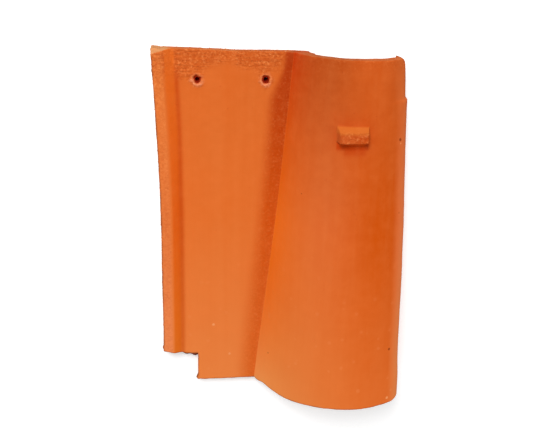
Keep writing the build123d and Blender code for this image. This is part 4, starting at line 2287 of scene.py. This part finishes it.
@dataclass(frozen=True)
class Studio:
    """White floor, even daylight and soft lamps, in metres."""

    floor_half: float = 6.0
    floor_drop: float = 0.0006
    floor_seen: float = 0.98
    floor_bounce: float = 0.5
    floor_glow: float = 0.3
    # Painted dark red shade on the floor under the pan, seen through the nail holes.
    shade_under_pan: Colour = (0.80, 0.020, 0.010, 1.0)
    under_pan: FloorPatch = FloorPatch(centre=(-0.075, 0.024), half=(0.06, 0.184))
    under_roll: FloorPatch = FloorPatch(centre=(0.052, 0.0), half=(0.078, 0.205))
    daylight: float = 0.42
    lamps: tuple[Lamp, ...] = (
        Lamp(LampRole.KEY, place=(-0.42, 1.15, 1.25), power=24.0, side=0.7),
        Lamp(LampRole.FILL, place=(1.3, -0.1, 0.9), power=6.0, side=1.2),
    )

    def build(self) -> None:
        """Lay the floor, set the daylight and hang the lamps."""
        self.lay_floor()
        self.set_daylight()
        for lamp in self.lamps:
            lamp.build()

    def lay_floor(self) -> None:
        """Make the floor and put its material on it."""
        half, level = self.floor_half, -self.floor_drop
        turns = ((-1, -1), (1, -1), (1, 1), (-1, 1))
        mesh = bpy.data.meshes.new("floor")
        mesh.from_pydata([(x * half, y * half, level) for x, y in turns], [], [(0, 1, 2, 3)])
        floor = bpy.data.objects.new("floor", mesh)
        bpy.context.scene.collection.objects.link(floor)
        mesh.materials.append(self.floor_material())

    def floor_material(self) -> bpy.types.Material:
        """White paper, whiter to the camera than to the light, but for what the tile covers, which
        under the pan is painted dark red shade.

        Returns:
            The material.
        """
        material = bpy.data.materials.new("white_floor")
        material.use_nodes = True
        material.node_tree.nodes.clear()
        bench = NodeBench(material.node_tree)
        path = bench.node("ShaderNodeLightPath")
        under_pan, under_roll = self.under_pan.on(bench), self.under_roll.on(bench)
        covered = under_pan.math("MAXIMUM", under_roll)
        seen = Signal(bench, path.outputs["Is Camera Ray"]) * (1.0 - covered)
        bounce, pale = ((level, level, level, 1.0) for level in (self.floor_bounce, self.floor_seen))
        shown = bench.mix(under_pan, bench.mix(seen, bounce, pale), self.shade_under_pan)
        paper = bench.node("ShaderNodeBsdfDiffuse", Color=shown)
        glow = bench.node("ShaderNodeEmission", Strength=seen * self.floor_glow)
        both = bench.node("ShaderNodeAddShader")
        bench.tree.links.new(paper.outputs[0], both.inputs[0])
        bench.tree.links.new(glow.outputs[0], both.inputs[1])
        output = bench.node("ShaderNodeOutputMaterial")
        bench.tree.links.new(both.outputs[0], output.inputs["Surface"])
        return material

    def set_daylight(self) -> None:
        """Light the scene evenly from the world, which the camera sees as white."""
        world = bpy.data.worlds.new("studio")
        bpy.context.scene.world = world
        world.use_nodes = True
        world.node_tree.nodes.clear()
        bench = NodeBench(world.node_tree)
        seen = Signal(bench, bench.node("ShaderNodeLightPath").outputs["Is Camera Ray"])
        strength = self.daylight + seen * (1.0 - self.daylight)
        sky = bench.node("ShaderNodeBackground", Color=(1.0, 1.0, 1.0, 1.0), Strength=strength)
        output = bench.node("ShaderNodeOutputWorld")
        bench.tree.links.new(sky.outputs[0], output.inputs["Surface"])


@dataclass(frozen=True)
class PhotographView:
    """The photograph's camera: where it looks, from how far, and how it is turned.

    Its target and distance are in millimetres, and its turns in radians.
    """

    focal_pixels: float = 750.0
    sensor_width: float = 36.0
    nearest_seen: float = 0.01
    target: tuple[float, float] = (-1.92, 11.87)
    distance: float = 929.0
    pitch: float = 0.393
    yaw: float = 0.107
    roll: float = 0.014

    def build(self) -> None:
        """Place the camera and make it the scene's."""
        data = bpy.data.cameras.new("photograph_view")
        data.sensor_width = self.sensor_width
        data.lens = self.focal_pixels / IMAGE_WIDTH * self.sensor_width
        data.clip_start = self.nearest_seen
        camera = bpy.data.objects.new("photograph_view", data)
        turn = Matrix.Rotation(self.roll, 4, "Z") @ Matrix.Rotation(self.yaw, 4, "Y")
        turn = (turn @ Matrix.Rotation(self.pitch, 4, "X")).transposed()
        target = Vector((*self.target, 0.0)) * MM
        place = target + turn @ Vector((0.0, 0.0, self.distance * MM))
        camera.matrix_world = Matrix.Translation(place) @ turn
        bpy.context.scene.collection.objects.link(camera)
        bpy.context.scene.camera = camera
        bpy.context.scene.view_settings.view_transform = "Standard"


def main() -> None:
    """Build, dress and light the tile."""
    logging.basicConfig(level=logging.INFO, format="%(name)s: %(message)s")
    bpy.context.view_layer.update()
    sizes = TileSizes()
    PhotographView().build()
    Studio().build()
    skin = TileSkin(sizes, SectionLines(sizes))
    tile = RoofTile(skin, FiredSurface(), TerracottaFinish()).build()
    log.info("%s: %d faces", tile.name, len(tile.data.polygons))


if __name__ == "__main__":
    main()
